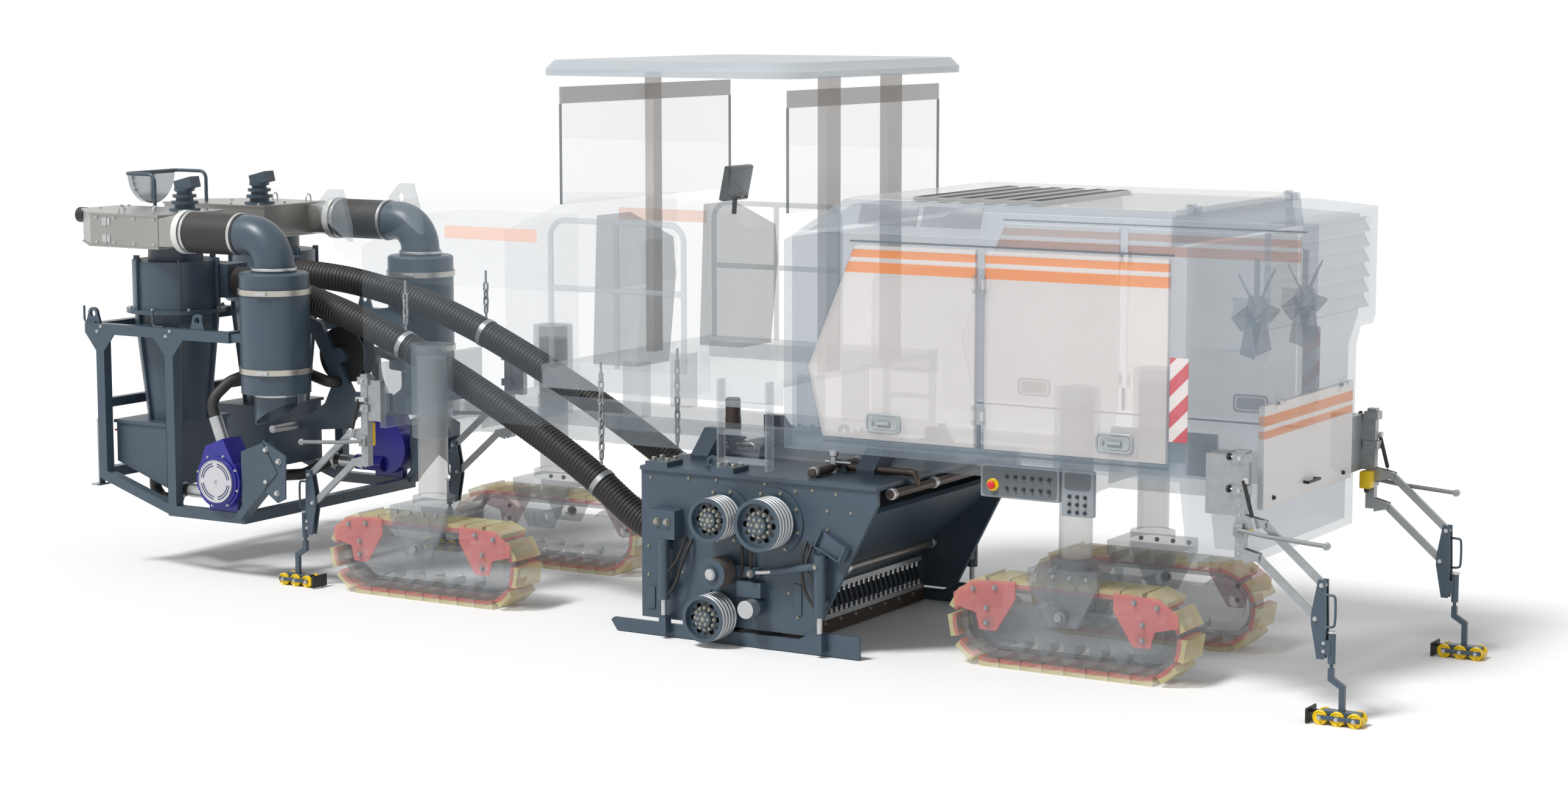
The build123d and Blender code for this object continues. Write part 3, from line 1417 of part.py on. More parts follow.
# Levelling arms: bracket and post, a pair of parallel links, and a leg on a small trolley
arm_table = (
    # name, post station, direction away from the machine, arm plane in Y
    ("front_left", front_arm_x, 1, front_arm_y),
    ("front_right", front_arm_x, 1, -front_arm_y),
    ("rear_left", rear_arm_x, -1, rear_arm_y),
    ("rear_right", rear_arm_x, -1, -rear_arm_y),
)
ear_in = link_depth / 2 + 3
ear_out = ear_in + 12
with BuildPart() as levelling_mounts:
    half_post = arm_post / 2
    for name, post_x, out, arm_y in arm_table:
        block(
            (post_x - half_post, post_x + half_post),
            (arm_y - half_post, arm_y + half_post),
            (arm_post_low_z, arm_post_top_z),
        )
        for clamp_z in (1365, 1565):
            block(span(post_x, arm_post + 36), span(arm_y, arm_post + 30), (clamp_z, clamp_z + 55))
        outer = 1 if arm_y > 0 else -1
        bar_y = arm_y + outer * (ear_out + 24)
        rod((post_x, bar_y, 1150), (post_x + out * 200, bar_y, 1125), 14)
        rod((post_x + out * 200, bar_y, 1125), (post_x + out * 575, bar_y, 1101), 14)
        block(span(post_x, arm_post), span(arm_y + outer * 30, 60), (1110, 1190))
        for reach, pivot_z in (upper_pivot, lower_pivot):
            pivot_x = post_x + out * reach
            for ear_low in (arm_y - ear_out, arm_y + ear_in):
                ear_outline = (
                    (post_x + out * half_post, pivot_z + 45),
                    (pivot_x + out * 20, pivot_z + 20),
                    (pivot_x + out * 20, pivot_z - 20),
                    (post_x + out * half_post, pivot_z - 45),
                )
                side_plate(ear_outline, ear_low, ear_low + ear_out - ear_in)
            rod((pivot_x, arm_y - ear_out, pivot_z), (pivot_x, arm_y + ear_out, pivot_z), link_pin_r)
    for side in (1, -1):
        block(
            (tank_front_x, front_arm_x - half_post),
            (side * (front_arm_y - 25), side * (front_arm_y + 25)),
            (1300, 1600),
        )
        inner = side * (hood_half_width - 120 * corner_slope)
        foot = side * (hood_half_width - 310 * corner_slope)
        bracket = (
            (tail_front_x - 120, inner),
            (tail_front_x - 310, foot),
            (tail_front_x - 310, side * (rear_arm_y - half_post)),
            (rear_arm_x + half_post, side * (rear_arm_y - half_post)),
            (rear_arm_x + half_post, side * (rear_arm_y - half_post + 14)),
            (tail_front_x - 120, side * (rear_arm_y - half_post + 14)),
        )
        plan_plate(bracket, 1224, 1600)
save(levelling_mounts, "levelling_mounts")


def link(post_x, out, arm_y, pivot):
    """Flat link with an eye at each end, falling away from the post."""
    run = Vector(out * link_reach, 0, -link_drop)
    start = Vector(post_x + out * pivot[0], arm_y - link_depth / 2, pivot[1])
    with BuildSketch(Plane(origin=start + run * 0.5, x_dir=run, z_dir=(0, 1, 0))) as face:
        SlotCenterToCenter(run.length, link_height)
        with Locations((-run.length / 2, 0), (run.length / 2, 0)):
            Circle(link_pin_r + 0.4, mode=Mode.SUBTRACT)
    extrude(face.sketch, amount=link_depth, dir=(0, 1, 0))


for name, post_x, out, arm_y in arm_table:
    with BuildPart() as upper_link:
        link(post_x, out, arm_y, upper_pivot)
    save(upper_link, f"upper_link_{name}")
    with BuildPart() as lower_link:
        link(post_x, out, arm_y, lower_pivot)
    save(lower_link, f"lower_link_{name}")

    leg_top = (upper_pivot[0] + link_reach, upper_pivot[1] - link_drop)
    leg_low = (lower_pivot[0] + link_reach, lower_pivot[1] - link_drop)
    with BuildPart() as arm_leg:
        cheek = (
            (leg_top[0] - 24, leg_top[1] + 34),
            (leg_top[0] + 24, leg_top[1] + 34),
            (leg_top[0] + 34, 560),
            (leg_top[0] + 24, 400),
            (leg_top[0] - 24, 400),
            (leg_low[0] - 26, leg_low[1] - 30),
            (leg_low[0] - 26, leg_low[1] + 30),
        )
        cheek_outline = [(post_x + out * u, z) for u, z in cheek]
        for cheek_low in (arm_y - ear_out, arm_y + ear_in):
            side_plate(cheek_outline, cheek_low, cheek_low + ear_out - ear_in)
        for u, z in (leg_top, leg_low):
            pin_x = post_x + out * u
            rod((pin_x, arm_y - ear_out, z), (pin_x, arm_y + ear_out, z), link_pin_r)
        spindle_u = leg_top[0] + 63
        block(
            (post_x + out * (leg_top[0] - 20), post_x + out * spindle_u),
            (arm_y - ear_out, arm_y + ear_out),
            (430, 520),
        )
        spindle_x = post_x + out * spindle_u
        rod((spindle_x, arm_y, 374), (spindle_x, arm_y, 560), 24)
        rod((spindle_x, arm_y, 300), (spindle_x, arm_y, 374), 12)
        crank = (
            (spindle_u - 18, 345),
            (spindle_u + 18, 345),
            (spindle_u + 18, 290),
            (spindle_u + 92, 245),
            (spindle_u + 92, 80),
            (spindle_u + 56, 80),
            (spindle_u + 56, 225),
            (spindle_u - 18, 270),
        )
        side_plate([(post_x + out * u, z) for u, z in crank], arm_y - 14, arm_y + 14)
        wheel_us = (spindle_u - 38, spindle_u + 74, spindle_u + 186)
        block(
            (post_x + out * (wheel_us[0] - 10), post_x + out * (wheel_us[-1] + 10)),
            (arm_y - 36, arm_y + 36),
            (2 * wheel_r - 4, 2 * wheel_r + 22),
        )
        for cheek_side in (-36, 26):
            block(
                (post_x + out * (wheel_us[0] - 10), post_x + out * (wheel_us[-1] + 10)),
                (arm_y + cheek_side, arm_y + cheek_side + 10),
                (wheel_r - 10, 2 * wheel_r),
            )
        for wheel_u in wheel_us:
            hub_x = post_x + out * wheel_u
            rod((hub_x, arm_y - 27, wheel_r), (hub_x, arm_y + 27, wheel_r), wheel_r)
        wiper_u = wheel_us[0] - 82
        block(
            (post_x + out * wiper_u, post_x + out * (wheel_us[0] - 8)),
            (arm_y - 10, arm_y + 10),
            (2 * wheel_r - 4, 2 * wheel_r + 16),
        )
        block(
            (post_x + out * (wiper_u - 12), post_x + out * wiper_u),
            (arm_y - 80, arm_y + 80),
            (ground_gap, 2 * wheel_r + 30),
        )
    save(arm_leg, f"arm_leg_{name}")

# Hose hangers: a band round each hose, and a chain up to the deck or the cover
chain_bar = 12.0
chain_inner = 56.0
chain_gap = 20.0
hanger_table = (
    # station, hose run that carries the band as two points of the route, height of the anchor
    (drum_x + 1330.0, hose_route[6], hose_route[5], deck_z - deck_plate),
    (drum_x + 3080.0, hose_route[4], hose_route[3], cover_low_z),
)
with BuildPart() as hose_hangers:
    for station, low_point, high_point, anchor_z in hanger_table:
        run = Vector(*high_point) - Vector(*low_point)
        share = (station - low_point[0]) / run.X
        centre = Vector(*low_point) + run * share
        slope = run.normalized()
        with BuildSketch(Plane(origin=centre - slope * 20, z_dir=run)) as ring:
            Circle(hose_r + band_depth)
            Circle(hose_r + seat_gap, mode=Mode.SUBTRACT)
        extrude(ring.sketch, amount=40, dir=run)
        lug_z = centre.Z + (hose_r + band_depth) * run.length / run.X
        rod((station, centre.Y, lug_z - 6), (station, centre.Y, lug_z + 40), 9)
        chain_pitch = chain_inner - seat_gap
        first_z = lug_z + 40 + chain_inner / 2
        links = int((anchor_z - 40 - first_z) / chain_pitch)
        for number in range(links):
            link_z = first_z + number * chain_pitch
            turn = 90 * (number % 2)
            link_plane = Plane(origin=(station, centre.Y, link_z), x_dir=(0, 0, 1), z_dir=(1, 0, 0))
            with BuildSketch(link_plane) as loop_face:
                Rectangle(chain_inner + 2 * chain_bar, chain_gap + 2 * chain_bar)
                chamfer(loop_face.vertices(), length=14)
                Rectangle(chain_inner, chain_gap, mode=Mode.SUBTRACT)
            bar_face = loop_face.sketch.rotate(Axis((station, centre.Y, 0), (0, 0, 1)), turn)
            extrude(bar_face, amount=chain_bar / 2, both=True)
        top_z = first_z + (links - 1) * chain_pitch + chain_inner / 2
        rod((station, centre.Y, top_z + 4), (station, centre.Y, anchor_z), 9)
    rod((pump_x + pump_r + 70, inlet_y, inlet_z), (inlet_end_x, inlet_y, inlet_z), inlet_r + 6)
    rod(neck_top, elbow_end, outlet_r + 8)
    mirror(about=Plane.XZ)
save(hose_hangers, "hose_hangers")

reel_r = 215.0
reel_width = 138.0
with BuildPart() as hose_reel:
    reel_y = hanger_y[0] - seat_gap
    turned(
        (
            (0, reel_y),
            (reel_r, reel_y),
            (reel_r, reel_y - 14),
            (0.55 * reel_r, reel_y - 14),
            (0.55 * reel_r, reel_y - reel_width + 14),
            (reel_r, reel_y - reel_width + 14),
            (reel_r, reel_y - reel_width),
            (0, reel_y - reel_width),
        ),
        (reel_x, 0, reel_z),
        (0, 1, 0),
        (1, 0, 0),
    )
save(hose_reel, "hose_reel")
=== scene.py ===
"""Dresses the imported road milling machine: finishes, fittings, stripes, light and camera."""

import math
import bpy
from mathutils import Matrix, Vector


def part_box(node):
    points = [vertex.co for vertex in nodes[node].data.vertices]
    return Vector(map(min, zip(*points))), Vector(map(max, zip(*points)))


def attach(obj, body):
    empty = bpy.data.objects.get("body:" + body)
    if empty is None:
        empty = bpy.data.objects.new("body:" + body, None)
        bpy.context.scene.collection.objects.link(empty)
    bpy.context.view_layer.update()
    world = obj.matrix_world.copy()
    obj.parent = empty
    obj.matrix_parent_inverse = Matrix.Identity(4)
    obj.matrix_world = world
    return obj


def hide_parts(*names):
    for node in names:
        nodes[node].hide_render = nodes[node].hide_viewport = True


bl_info = {
    "name": "Road Milling Machine Dresser",
    "version": (1, 0, 0),
    "blender": (4, 5, 0),
    "location": "View3D > Sidebar > Milling",
    "description": "Finishes and fits out a four-track road milling machine around its packed frame",
    "category": "Object",
}

import bmesh
import bpy
from bpy.props import FloatProperty, FloatVectorProperty, IntProperty, PointerProperty
from mathutils import Matrix, Vector

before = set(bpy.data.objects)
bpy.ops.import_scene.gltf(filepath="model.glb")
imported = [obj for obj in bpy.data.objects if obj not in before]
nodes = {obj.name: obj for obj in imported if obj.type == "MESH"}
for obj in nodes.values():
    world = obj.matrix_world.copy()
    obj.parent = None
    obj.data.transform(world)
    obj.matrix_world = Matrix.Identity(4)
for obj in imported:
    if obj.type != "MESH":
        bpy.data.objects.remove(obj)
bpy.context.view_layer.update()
hands = (("left", 1), ("right", -1))
drum_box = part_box("drum_pulley")
drum_x = (drum_box[0].x + drum_box[1].x) / 2

PULLEYS = (
    # node, station from the drum's axis, height, radius, body
    ("engine_pulley", -0.432, 0.881, 0.178, "engine_sheave"),
    ("pump_pulley", -0.041, 0.883, 0.151, "pump_sheave"),
    ("drum_pulley", 0.0, 0.200, 0.161, "drum"),
)
ARMS = {
    # corner: station of the post, direction away from the machine, arm plane in Y
    "front_left": (3.150, 1, 0.890),
    "front_right": (3.150, 1, -0.890),
    "rear_left": (-3.849, -1, 1.126),
    "rear_right": (-3.849, -1, -1.126),
}
TRACKS = (
    # end, station of the axle, distance of the track from the machine's middle
    ("front", 2.640, 0.763),
    ("rear", -2.480, 0.608),
)
SCREENS = (
    # station and half width of the rear and the front wind screen
    (-0.559, 1.050),
    (1.235, 1.100),
)
WALL_Y = 1.020  # outer face of the milling housing's walls
WEB_Y = 1.210  # face of the pulleys' webs
HUB_Y = 1.242  # face of the pulleys' hubs
HOOD_Y = 1.100  # outer face of the hood's sides and doors
PUMP_X = 4.415  # station, height and disc face of the slurry pumps
PUMP_Z = 0.771
PUMP_FACE_Y = 1.130
SILENCER_X = 4.007  # station of the silencers, and the duct above them
DUCT_Y = 0.886
DUCT_Z = 2.617
ROD_OUT = 0.054  # from an arm's plane out to its sensor rod and gas strut


def linear_colour(code):
    """Linear RGBA from an sRGB hex value."""
    linear = []
    for place in (0, 2, 4):
        share = int(code[place : place + 2], 16) / 255
        linear.append(share / 12.92 if share <= 0.04045 else ((share + 0.055) / 1.055) ** 2.4)
    return (*linear, 1.0)


def per_mm(size):
    """Texture scale at which a pattern's cells are this many millimetres across."""
    return 1000.0 / size


class MillingColours(bpy.types.PropertyGroup):
    """Paint colours of the machine."""

    slate: FloatVectorProperty(
        name="Slate", description="Enamel of the milling and extraction units", subtype="COLOR",
        size=4, min=0, max=1, default=linear_colour("435360"),
    )
    pump: FloatVectorProperty(
        name="Pump", description="Enamel of the slurry pumps", subtype="COLOR",
        size=4, min=0, max=1, default=linear_colour("2B2A8E"),
    )
    stripe: FloatVectorProperty(
        name="Stripe", description="Film stripes on doors and flap", subtype="COLOR",
        size=4, min=0, max=1, default=linear_colour("F0924A"),
    )
    wheel: FloatVectorProperty(
        name="Wheel", description="Trolley wheels and sensor boxes", subtype="COLOR",
        size=4, min=0, max=1, default=linear_colour("F0C808"),
    )


class MillingSizes(bpy.types.PropertyGroup):
    """Sizes of the fittings."""

    hose_rib_pitch: FloatProperty(
        name="Hose rib pitch", description="Spacing of the ribs along a suction hose",
        subtype="DISTANCE", unit="LENGTH", default=0.030, min=0.01,
    )
    hose_rib_height: FloatProperty(
        name="Hose rib height", description="How far a rib stands out of its hose",
        subtype="DISTANCE", unit="LENGTH", default=0.007, min=0.001,
    )
    panel_alpha: FloatProperty(
        name="Panel opacity", description="How much one face of a clear panel hides",
        subtype="FACTOR", default=0.2, min=0.0, max=1.0,
    )
    pulley_bolts: IntProperty(
        name="Pulley bolts", description="Bolts in the outer ring of a belt pulley",
        default=12, min=3,
    )


def add_node(tree, kind, inputs=None, **settings):
    """Add a node, set its properties and fill its inputs with values or other nodes' outputs."""
    node = tree.nodes.new(kind)
    for name, value in settings.items():
        setattr(node, name, value)
    for name, value in (inputs or {}).items():
        if isinstance(value, bpy.types.NodeSocket):
            tree.links.new(value, node.inputs[name])
        else:
            node.inputs[name].default_value = value
    return node


def new_material(name):
    """A material and its empty node tree, or the one made before and None."""
    found = bpy.data.materials.get(name)
    if found:
        return found, None
    material = bpy.data.materials.new(name)
    material.use_nodes = True
    material.node_tree.nodes.clear()
    return material, material.node_tree


def surface(tree, inputs, bump=None):
    """Close a node tree with a Principled shader."""
    shader = add_node(tree, "ShaderNodeBsdfPrincipled", inputs)
    if bump:
        tree.links.new(bump.outputs["Normal"], shader.inputs["Normal"])
    add_node(tree, "ShaderNodeOutputMaterial", {"Surface": shader.outputs["BSDF"]})


def coat(colour, roughness, metallic=0.0, alpha=1.0):
    """One zone's look: colour, roughness, metallic and opacity."""
    if isinstance(colour, str):
        colour = linear_colour(colour)
    return tuple(colour), roughness, metallic, alpha


def reading(tree, xyz, kind):
    """What a zone is measured by.

    That is a coordinate, the distance across from the machine's middle, or the distance from an
    axle or a track's spine, given as station, height and half length.
    """
    if kind in ("X", "Y", "Z"):
        return xyz.outputs[kind]
    if kind == "across":
        sideways = {0: xyz.outputs["Y"]}
        return add_node(tree, "ShaderNodeMath", sideways, operation="ABSOLUTE").outputs[0]
    centre_x, centre_z, half_run = kind
    along = xyz.outputs["X"]
    for operation, inputs in (
        ("SUBTRACT", {1: centre_x}), ("ABSOLUTE", {}),
        ("SUBTRACT", {1: half_run}), ("MAXIMUM", {1: 0.0}),
    ):
        along = add_node(tree, "ShaderNodeMath", {0: along, **inputs}, operation=operation).outputs[0]
    flat = add_node(tree, "ShaderNodeCombineXYZ", {"X": along, "Z": xyz.outputs["Z"]})
    ends = {0: flat.outputs[0], 1: (0.0, 0.0, centre_z)}
    return add_node(tree, "ShaderNodeVectorMath", ends, operation="DISTANCE").outputs["Value"]


def zone_mask(tree, xyz, tests):
    """One inside every (kind, low, high) range, nought outside."""
    mask = None
    for kind, low, high in tests:
        span = {0: reading(tree, xyz, kind), 1: (low + high) / 2, 2: (high - low) / 2}
        inside = add_node(tree, "ShaderNodeMath", span, operation="COMPARE").outputs[0]
        if mask is not None:
            both = {0: mask, 1: inside}
            inside = add_node(tree, "ShaderNodeMath", both, operation="MULTIPLY").outputs[0]
        mask = inside
    return mask


def blended(tree, mask, before, after):
    """Number that changes over from one zone to the next, or the number itself where both agree."""
    if not isinstance(before, bpy.types.NodeSocket) and before == after:
        return before
    return add_node(tree, "ShaderNodeMix", {0: mask, 2: before, 3: after}).outputs[0]


def finish(name, base, zones=(), cloud_mm=350.0, shade=0.8, grain_mm=9.0, grain=0.06):
    """Sprayed or cast surface: cloudy tone, drifting gloss and a grain drawn coarse enough to show.

    Zones are (tests, coat) pairs in the node's own place in the frame, so that one node can wear
    several finishes.
    """
    material, tree = new_material(name)
    if tree is None:
        return material
    place = add_node(tree, "ShaderNodeTexCoord").outputs["Object"]
    xyz = add_node(tree, "ShaderNodeSeparateXYZ", {"Vector": place})
    colour, roughness, metallic, alpha = base
    for tests, (zone_colour, zone_roughness, zone_metallic, zone_alpha) in zones:
        mask = zone_mask(tree, xyz, tests)
        colour = add_node(
            tree, "ShaderNodeMixRGB", {"Fac": mask, "Color1": colour, "Color2": zone_colour}
        ).outputs[0]
        roughness = blended(tree, mask, roughness, zone_roughness)
        metallic = blended(tree, mask, metallic, zone_metallic)
        alpha = blended(tree, mask, alpha, zone_alpha)
    cloud = add_node(
        tree, "ShaderNodeTexNoise", {"Vector": place, "Scale": per_mm(cloud_mm), "Detail": 4.0}
    ).outputs[0]
    tone = add_node(
        tree, "ShaderNodeMapRange", {"Value": cloud, "To Min": shade, "To Max": 1.0}
    ).outputs[0]
    worn = add_node(
        tree, "ShaderNodeMixRGB", {"Fac": 1.0, "Color1": colour, "Color2": tone}, blend_type="MULTIPLY"
    ).outputs[0]
    drift = add_node(
        tree, "ShaderNodeMapRange", {"Value": cloud, "To Min": 0.85, "To Max": 1.15}
    ).outputs[0]
    gloss = add_node(tree, "ShaderNodeMath", {0: drift, 1: roughness}, operation="MULTIPLY").outputs[0]
    peel = add_node(
        tree, "ShaderNodeTexNoise", {"Vector": place, "Scale": per_mm(grain_mm), "Detail": 2.0}
    ).outputs[0]
    bump = add_node(tree, "ShaderNodeBump", {"Height": peel, "Strength": grain, "Distance": 0.002})
    inputs = {"Base Color": worn, "Roughness": gloss, "Metallic": metallic, "Alpha": alpha}
    surface(tree, inputs, bump)
    return material


def slate_coat():
    """Satin slate enamel."""
    return coat(bpy.context.scene.milling_colours.slate, 0.36)


def silver_coat():
    """Bright plated steel."""
    return coat("C9CACB", 0.32, 0.85)


def slate_enamel(use="frame", zones=()):
    # Two-pack enamel over welded steel: an even satin skin with faint orange peel
    return finish("two_pack_enamel_on_steel_" + use, slate_coat(), zones)


def blue_enamel(zones=()):
    # Gloss enamel over a casting: deep colour with a sand-cast ripple
    blue = coat(bpy.context.scene.milling_colours.pump, 0.26)
    return finish("gloss_enamel_on_cast_iron", blue, zones, grain_mm=14.0, grain=0.12)


def wear_steel():
    # Hot-rolled wear steel: brown mill scale in clouds, half metallic
    return finish("hot_rolled_wear_steel", coat("54483F", 0.5, 0.5), cloud_mm=120.0, shade=0.55)


def pipe_steel():
    # Drawn steel pipe under a brown varnish: dark and half glossy
    return finish("varnished_steel_pipe", coat("5C5048", 0.34, 0.4), cloud_mm=90.0, shade=0.75)


def zinc_coat():
    """Dull zinc."""
    return coat("A9ACAE", 0.4, 0.8)


def zinc_steel(use="bright", zones=()):
    # Hot-dip zinc: bright metal with the mottled spangle of the bath
    name = "hot_dip_zinc_on_steel_" + use
    return finish(name, zinc_coat(), zones, cloud_mm=60.0, shade=0.7, grain_mm=22.0)


def bright_steel():
    # Turned and plated steel: fittings, bolts and rods with a clean highlight
    return finish("zinc_plated_turned_steel", silver_coat(), cloud_mm=40.0, shade=0.8)


def olive_steel():
    # Chromated bolt heads: yellowish grey plating
    return finish("chromated_bolt_steel", coat("A2A197", 0.4, 0.75), cloud_mm=30.0, shade=0.75)


def brushed_stainless(zones=()):
    # Brushed stainless sheet: even warm grey with a soft highlight, its scratches too fine to show
    steel = coat("A6A5A2", 0.34, 0.8)
    return finish("brushed_stainless_sheet", steel, zones, cloud_mm=500.0, shade=0.84)


def black_rubber():
    # EPDM rubber: near black and matt, with a bloom of dust
    return finish("epdm_rubber", coat("2E2B29", 0.55), cloud_mm=160.0, shade=0.6, grain=0.1)


def black_polymer_and_hole_shade():
    # Moulded polyamide: near black, with a light spark-eroded grain; the same near black is painted
    # shade in the pulleys' holes
    black = coat("1B1C1E", 0.45)
    return finish("moulded_black_polyamide_and_painted_hole_shade", black, cloud_mm=120.0, shade=0.7, grain=0.12)


def yellow_polymer():
    # Cast polyurethane: full colour and a waxy gloss
    wheel = coat(bpy.context.scene.milling_colours.wheel, 0.34)
    return finish("cast_polyurethane", wheel, cloud_mm=80.0, shade=0.9)


def red_polymer():
    # Moulded polyamide in signal red: even colour and a clean gloss
    return finish("moulded_red_polyamide", coat("D3222A", 0.35), cloud_mm=60.0, shade=0.9)


def clear_panel(name, code, alpha, zones=(), roughness=0.3):
    # Clear tinted acrylic: shows what is behind it, with a faint cast-sheet ripple
    tint = coat(code, roughness, 0.0, alpha)
    return finish("acrylic_sheet_" + name, tint, zones, shade=0.94, grain_mm=240.0, grain=0.03)


def chevron_film():
    # Retro-reflective film in slanting red and white bars: beads under a skin give a fine sparkle.
    # The beads are drawn far coarser than they are, so that they show.
    bar_width = 0.1
    material, tree = new_material("retro_reflective_film")
    if tree is None:
        return material
    place = add_node(tree, "ShaderNodeTexCoord").outputs["Object"]
    xyz = add_node(tree, "ShaderNodeSeparateXYZ", {"Vector": place})
    bar = xyz.outputs["X"]
    for operation, value in (
        ("ADD", xyz.outputs["Z"]), ("FLOORED_MODULO", 2 * bar_width), ("GREATER_THAN", bar_width),
    ):
        bar = add_node(tree, "ShaderNodeMath", {0: bar, 1: value}, operation=operation).outputs[0]
    bead = add_node(tree, "ShaderNodeTexVoronoi", {"Vector": place, "Scale": per_mm(12.0)})
    bars = {"Fac": bar, "Color1": linear_colour("D5606A"), "Color2": linear_colour("EDE6E4")}
    tone = add_node(tree, "ShaderNodeMixRGB", bars)
    sparkle = {"Height": bead.outputs["Distance"], "Strength": 0.1, "Distance": 0.001}
    bump = add_node(tree, "ShaderNodeBump", sparkle)
    surface(tree, {"Base Color": tone.outputs[0], "Roughness": 0.4, "Alpha": 0.6}, bump)
    return material


def paint(names, material):
    """Give CAD nodes a finish."""
    for name in names:
        mesh = nodes[name].data
        mesh.materials.clear()
        mesh.materials.append(material)


def add_piece(name, bm, material, body="machine"):
    """Turn a bmesh into a piece that rides on a body."""
    bmesh.ops.recalc_face_normals(bm, faces=bm.faces[:])
    mesh = bpy.data.meshes.new(name)
    bm.to_mesh(mesh)
    bm.free()
    mesh.materials.append(material)
    piece = bpy.data.objects.new(name, mesh)
    bpy.context.scene.collection.objects.link(piece)
    mesh.shade_smooth()
    mesh.set_sharp_from_angle(angle=math.radians(35))
    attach(piece, body)
    return piece


def bridge(bm, low, high):
    """Faces between two rings, of which either may be a single vertex."""
    count = max(len(low), len(high))
    for step in range(count):
        after = (step + 1) % count
        if len(low) == 1:
            bm.faces.new((low[0], high[after], high[step]))
        elif len(high) == 1:
            bm.faces.new((low[step], low[after], high[0]))
        else:
            bm.faces.new((low[step], low[after], high[after], high[step]))


def add_lathe(bm, centre, axis, profile, segments=32):
    """Revolve (radius, station) pairs about an axis: a ring, or a solid with both ends on the axis."""
    place = Matrix.Translation(centre) @ Vector(axis).to_track_quat("Z", "Y").to_matrix().to_4x4()
    rings = []
    for radius, station in profile:
        if radius == 0:
            rings.append([bm.verts.new(place @ Vector((0, 0, station)))])
            continue
        ring = []
        for step in range(segments):
            angle = 2 * math.pi * step / segments
            spot = Vector((radius * math.cos(angle), radius * math.sin(angle), station))
            ring.append(bm.verts.new(place @ spot))
        rings.append(ring)
    closing = [] if profile[0][0] == 0 else rings[:1]
    for low, high in zip(rings, rings[1:] + closing):
        bridge(bm, low, high)


def add_bolt(bm, seat, axis, across, height=None):
    """Hexagon head with a chamfered crown on a washer."""
    half = across / 2
    height = height or 1.35 * half
    washer = 0.15 * height
    add_lathe(bm, seat, axis, ((0, 0), (1.25 * half, 0), (1.25 * half, washer), (0, washer)), 16)
    crown = ((0, washer), (half, washer), (half, 0.88 * height), (0.85 * half, height), (0, height))
    add_lathe(bm, seat, axis, crown, 6)


def add_band(bm, centre, axis, radius, width, depth=0.006, segments=48):
    """Rolled band round a pipe, with rounded edges."""
    edge = depth / 2
    half = width / 2
    sunk = radius - 0.002
    profile = (
        (sunk, -half), (radius + edge, -half), (radius + depth, -half + edge),
        (radius + depth, half - edge), (radius + edge, half), (sunk, half),
    )
    add_lathe(bm, centre, axis, profile, segments)


def add_block(bm, low, high, bevel=0.004, turn=None):
    """Block between two corners with rounded edges, turned about its middle by a matrix."""
    middle = (Vector(low) + Vector(high)) / 2
    size = Vector([abs(b - a) for a, b in zip(low, high)])
    place = Matrix.Translation(middle) @ (turn or Matrix()) @ Matrix.Diagonal((*size, 1))
    made = bmesh.ops.create_cube(bm, size=1.0, matrix=place)
    edges = {edge for vertex in made["verts"] for edge in vertex.link_edges}
    bmesh.ops.bevel(bm, geom=list(edges), offset=bevel, segments=2, affect="EDGES", profile=0.5)


def add_slab(bm, middle, half, bevel, turn=None):
    """Block round its middle, from its half sizes."""
    add_block(bm, middle - Vector(half), middle + Vector(half), bevel, turn)


def rounded_loop(half_width, half_height, corner, steps=5):
    """Places round a rectangle with rounded corners, in its own plane."""
    spots = []
    for turn, (across, up) in enumerate(((1, 1), (-1, 1), (-1, -1), (1, -1))):
        for step in range(steps + 1):
            angle = math.pi / 2 * (turn + step / steps)
            spots.append((
                across * (half_width - corner) + corner * math.cos(angle),
                up * (half_height - corner) + corner * math.sin(angle),
            ))
    return spots


def add_rim(bm, centre, half_width, half_height, rim, depth, side):
    """Rounded rectangular frame lying on a side panel, in X and Z."""
    section = (
        (0, 0), (0, depth * 0.6), (rim * 0.3, depth), (rim * 0.7, depth), (rim, depth * 0.5), (rim, 0),
    )
    rings = []
    for inset, out in section:
        ring = []
        for u, v in rounded_loop(half_width - inset, half_height - inset, 0.034 - inset * 0.4):
            ring.append(bm.verts.new(Vector(centre) + Vector((u, side * out, v))))
        rings.append(ring)
    for low, high in zip(rings, rings[1:] + rings[:1]):
        bridge(bm, low, high)


def add_tray(bm, centre, half_width, half_height, depth, side):
    """Shallow rounded plate with a raised lip, lying on a side panel."""
    rings = []
    for inset, out in ((0, 0), (0, depth), (0.012, depth), (0.018, depth * 0.4)):
        rings.append([
            bm.verts.new(Vector(centre) + Vector((u, side * out, v)))
            for u, v in rounded_loop(half_width - inset, half_height - inset, 0.024 - inset * 0.5)
        ])
    for low, high in zip(rings, rings[1:]):
        bridge(bm, low, high)
    bm.faces.new(rings[0])
    bm.faces.new(rings[-1])


def spline_points(route, samples):
    """Evenly many points of a quadratic spline through a route's control points."""
    curve = bpy.data.curves.new("route", "CURVE")
    curve.dimensions = "3D"
    spline = curve.splines.new("NURBS")
    spline.points.add(len(route) - 1)
    for point, place in zip(spline.points, route):
        point.co = (*place, 1.0)
    spline.order_u = 3
    spline.use_endpoint_u = True
    curve.resolution_u = samples
    carrier = bpy.data.objects.new("route", curve)
    bpy.context.scene.collection.objects.link(carrier)
    bpy.context.view_layer.update()
    ready = carrier.evaluated_get(bpy.context.evaluated_depsgraph_get())
    line = bpy.data.meshes.new_from_object(ready)
    points = [vertex.co.copy() for vertex in line.vertices]
    bpy.data.objects.remove(carrier)
    bpy.data.meshes.remove(line)
    return points


